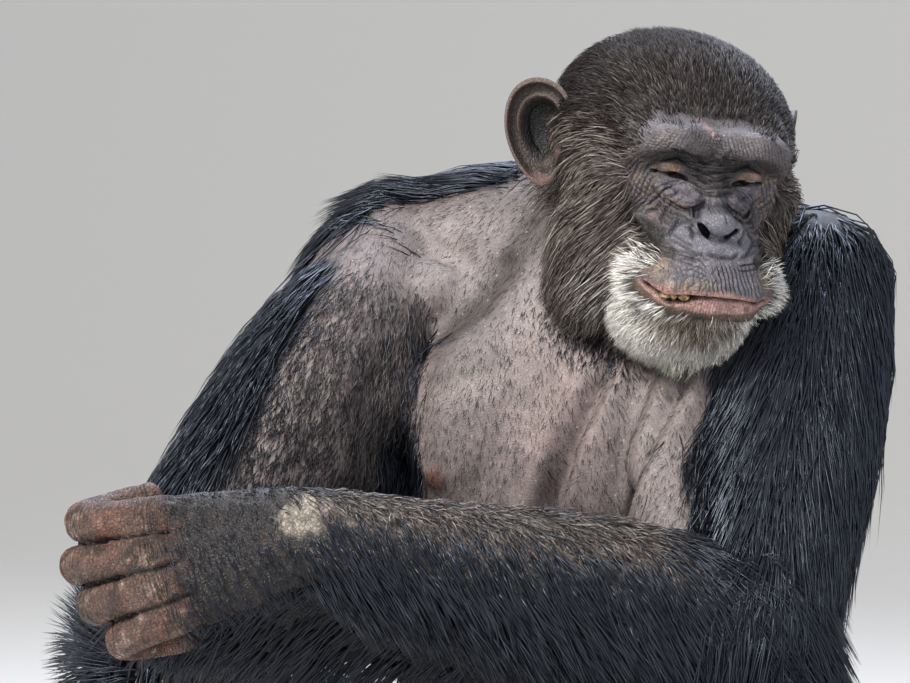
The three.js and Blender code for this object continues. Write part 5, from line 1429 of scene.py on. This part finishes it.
def headCoat(name, weights, count, look, toneOf, material, seed, lieOf=headLie):
    roots, normals = drawRoots(headPoints, headTriangles, headNormals, weights + 1e-12, int(count * thin), seed)
    lie, long = lieOf(roots)
    way = unit(roots - skullMiddle)
    uv = np.stack([np.arctan2(way[:, 0], -way[:, 1]) / (2 * np.pi) + 0.5, np.arcsin(way[:, 2]) / np.pi + 0.5], 1)
    tone = toneOf(roots, np.random.default_rng(seed + 50).random(len(roots)))
    makeCoat(name, toWorld(roots), normals @ headTurn.T, lie @ headTurn.T, long, tone, uv, look, material, seed)


x, y, z = headPoints.T
crownPart = fade(z, 18, 40)
frontPart = 0.3 + 0.7 * fade(-y, -50, 0)


def crownTone(p, draw):
    tone = np.tile(linear(coatTones["crown"]), (len(p), 1))
    return tinted(tone, coatTones["greyPale"], fade(draw, 0.6, 1) * 0.4 * fade(20 - p[:, 1], 0, 60))


def cheekTone(p, draw):
    tone = tinted(np.tile(linear(coatTones["brown"]), (len(p), 1)), coatTones["grey"], fade(draw, 0.0, 0.6))
    tone = tinted(tone, coatTones["greyPale"], fade(draw, 0.55, 0.95) * fade(-p[:, 1], -20, 30))
    tone = tinted(tone, coatTones["black"], fade(p[:, 1], 10, 50) * 0.8)
    low = fade(-p[:, 2], 14, 60) * fade(-p[:, 1], 30, 70)
    return tinted(tone, coatTones["white"], low * fade(draw, 0.4, 1) * 0.7)


def beardTone(p, draw):
    tone = np.tile(linear(coatTones["white"]), (len(p), 1))
    middle = np.exp(-(((p[:, 0] + 2) / 25) ** 2 + ((p[:, 2] + 66) / 12) ** 2))
    tone = tinted(tone, coatTones["chin"], fade(middle * 1.5 + 0.4 * draw, 0.5, 1.1) * (0.35 + 0.65 * draw))
    return tinted(tone, coatTones["mossy"], fade(-p[:, 2], 82, 96) * (0.3 + 0.5 * draw))


def beardLie(p):
    # Away from the mouth on all sides, a little back and down
    lie = np.stack([p[:, 0], np.zeros(len(p)), 1.4 * (p[:, 2] + 44)], 1)
    return unit(lie) + np.array([0, 0.3, -0.25]), 0.62 + 0.38 * fade(np.linalg.norm(lie, axis=1), 36, 70)


shortHair = {"long": (16, 28), "wide": 0.8, "rise": 0.24, "sag": 0.05, "wave": 0.08, "stray": 0.26, "rings": 2,
             "sink": 0.5, "taper": 2.0, "clump": 0.35, "perClump": 9, "clumpSize": 4}
bareness = 0.4 + 0.6 * fade(-z, 62, 78) + 0.6 * fade(np.abs(x), 34, 46)
headCoat("crownHair", headCover * (1 - paleZone) * crownPart * frontPart, 17500, shortHair, crownTone, headHair, 21)
headCoat("cheekHair", headCover * (1 - paleZone) * (1 - crownPart) * frontPart, 10500,
         {**shortHair, "long": (24, 38), "wide": 0.85, "rings": 3, "clumpSize": 6, "stray": 0.16}, cheekTone,
         headHair, 23)
headCoat("beard", headCover * paleZone * np.minimum(bareness, 1), 8200,
         {**shortHair, "long": (12, 21), "wide": 0.58, "rise": 0.42, "rings": 3, "stray": 0.36, "clumpSize": 3},
         beardTone, greyHair, 22, beardLie)

# Nails: a curved plate on each digit's tip
nailLook, nailTree, nailShader = newMaterial("keratinNail")
nailNoise = addNode(nailTree, "ShaderNodeTexNoise", {"Scale": 300.0, "Detail": 4},
                    {"Vector": addNode(nailTree, "ShaderNodeTexCoord").outputs["Object"]}).outputs["Fac"]
nailStops = {"stops": [(0.3, "#1c1613"), (0.7, "#4a3b30")]}
nailTree.links.new(addNode(nailTree, "ShaderNodeValToRGB", nailStops, {"Fac": nailNoise}).outputs[0],
                   nailShader.inputs["Base Color"])
nailShader.inputs["Roughness"].default_value = 0.35
nailShells = []
for digits in (hands["left"][1], hands["right"][1], feet["left"][1], feet["right"][1]):
    for digit in digits:
        middle, along, across, out, size = limbFrames(digit, np.array([0.97]))
        # The back of the digit is the outer side of its bend
        bend = unit(digit["spine"][-2] * 2 - digit["spine"][-1] - digit["spine"][-3])
        back = unit(bend - along[0] * (bend @ along[0]))
        turn = np.stack([np.cross(back, along[0]), along[0], back], 1)
        points, quads, ends = eggShell((0, 0, 0), (size[0, 0] * 0.72, size[0, 0] * 0.85, 2.0), rows=10, sides=16)
        points = points @ turn.T + middle[0] + back * size[0, 0] * 0.82 + along[0] * size[0, 0] * 0.35
        nailShells.append((points, quads, ends))
points, quads, ends = joinShells(nailShells)
points[:, 2] = np.maximum(points[:, 2], lowest["nail"])
nails = makeMesh("nails", points, [quads, ends])
nails.data.materials.append(nailLook)
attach(nails, "root")

# Floor, light and camera
print("stage")
# The floor is level up to 3 m behind the animal and then sweeps up in a quarter round to a wall
sweep = np.linspace(0, np.pi / 2, 25)
profile = np.vstack([[(-30, 0)], np.stack([3 + 3 * np.sin(sweep), 3 - 3 * np.cos(sweep)], 1), [(6, 20)]])
rows = np.arange(len(profile) - 1)
floor = makeMesh("floor", np.vstack([np.insert(profile, 0, side, axis=1) for side in (-20, 20)]) / mm,
                 [np.stack([rows, rows + len(profile), rows + len(profile) + 1, rows + 1], 1)])
floorLook, _, floorShader = newMaterial("paleFloor")
floorShader.inputs["Base Color"].default_value = (*linear("#e6e4e0"), 1)
floorShader.inputs["Roughness"].default_value = 0.8
floor.data.materials.append(floorLook)

world = bpy.data.worlds.new("studio")
bpy.context.scene.world = world
world.use_nodes = True
world.node_tree.nodes["Background"].inputs[0].default_value = (*linear("#dfe3ea"), 1)
world.node_tree.nodes["Background"].inputs[1].default_value = 0.65
lights = [
    {"at": (-1.0, -1.9, 2.4), "size": 1.1, "power": 135, "colour": "#fffaf4"},
    {"at": (1.6, -1.6, 1.3), "size": 1.8, "power": 20, "colour": "#eef3ff"},
    {"at": (-0.4, 1.1, 2.2), "size": 1.4, "power": 60, "colour": "#dfe9ff"},
]
for item in lights:
    data = bpy.data.lights.new("soft", "AREA")
    data.size = item["size"]
    data.energy = item["power"]
    data.color = linear(item["colour"])
    lamp = bpy.data.objects.new("soft", data)
    lamp.location = item["at"]
    lamp.rotation_euler = (Vector((0, -0.1, 0.45)) - lamp.location).to_track_quat("-Z", "Y").to_euler()
    bpy.context.scene.collection.objects.link(lamp)

view = {"middle": np.array([0, -30, 545]) * mm, "turn": 20.0, "raised": 2.5, "away": 3.5, "lens": 213,
        "aside": -0.09425, "lower": -0.0497}
turn, raised = np.radians(view["turn"]), np.radians(view["raised"])
aside = np.array([np.cos(turn), np.sin(turn), 0])
towards = np.array([np.sin(turn) * np.cos(raised), -np.cos(turn) * np.cos(raised), np.sin(raised)])
upright = np.cross(towards, aside)
upright = upright if upright[2] > 0 else -upright
aimAt = view["middle"] + aside * view["aside"] + upright * view["lower"]
cameraData = bpy.data.cameras.new("camera")
cameraData.lens = view["lens"]
cameraData.sensor_width = 36
camera = bpy.data.objects.new("camera", cameraData)
camera.location = view["middle"] + towards * view["away"]
camera.rotation_euler = (Vector(aimAt) - camera.location).to_track_quat("-Z", "Y").to_euler()
bpy.context.scene.collection.objects.link(camera)
bpy.context.scene.camera = camera
bpy.context.scene.view_settings.view_transform = "Standard"
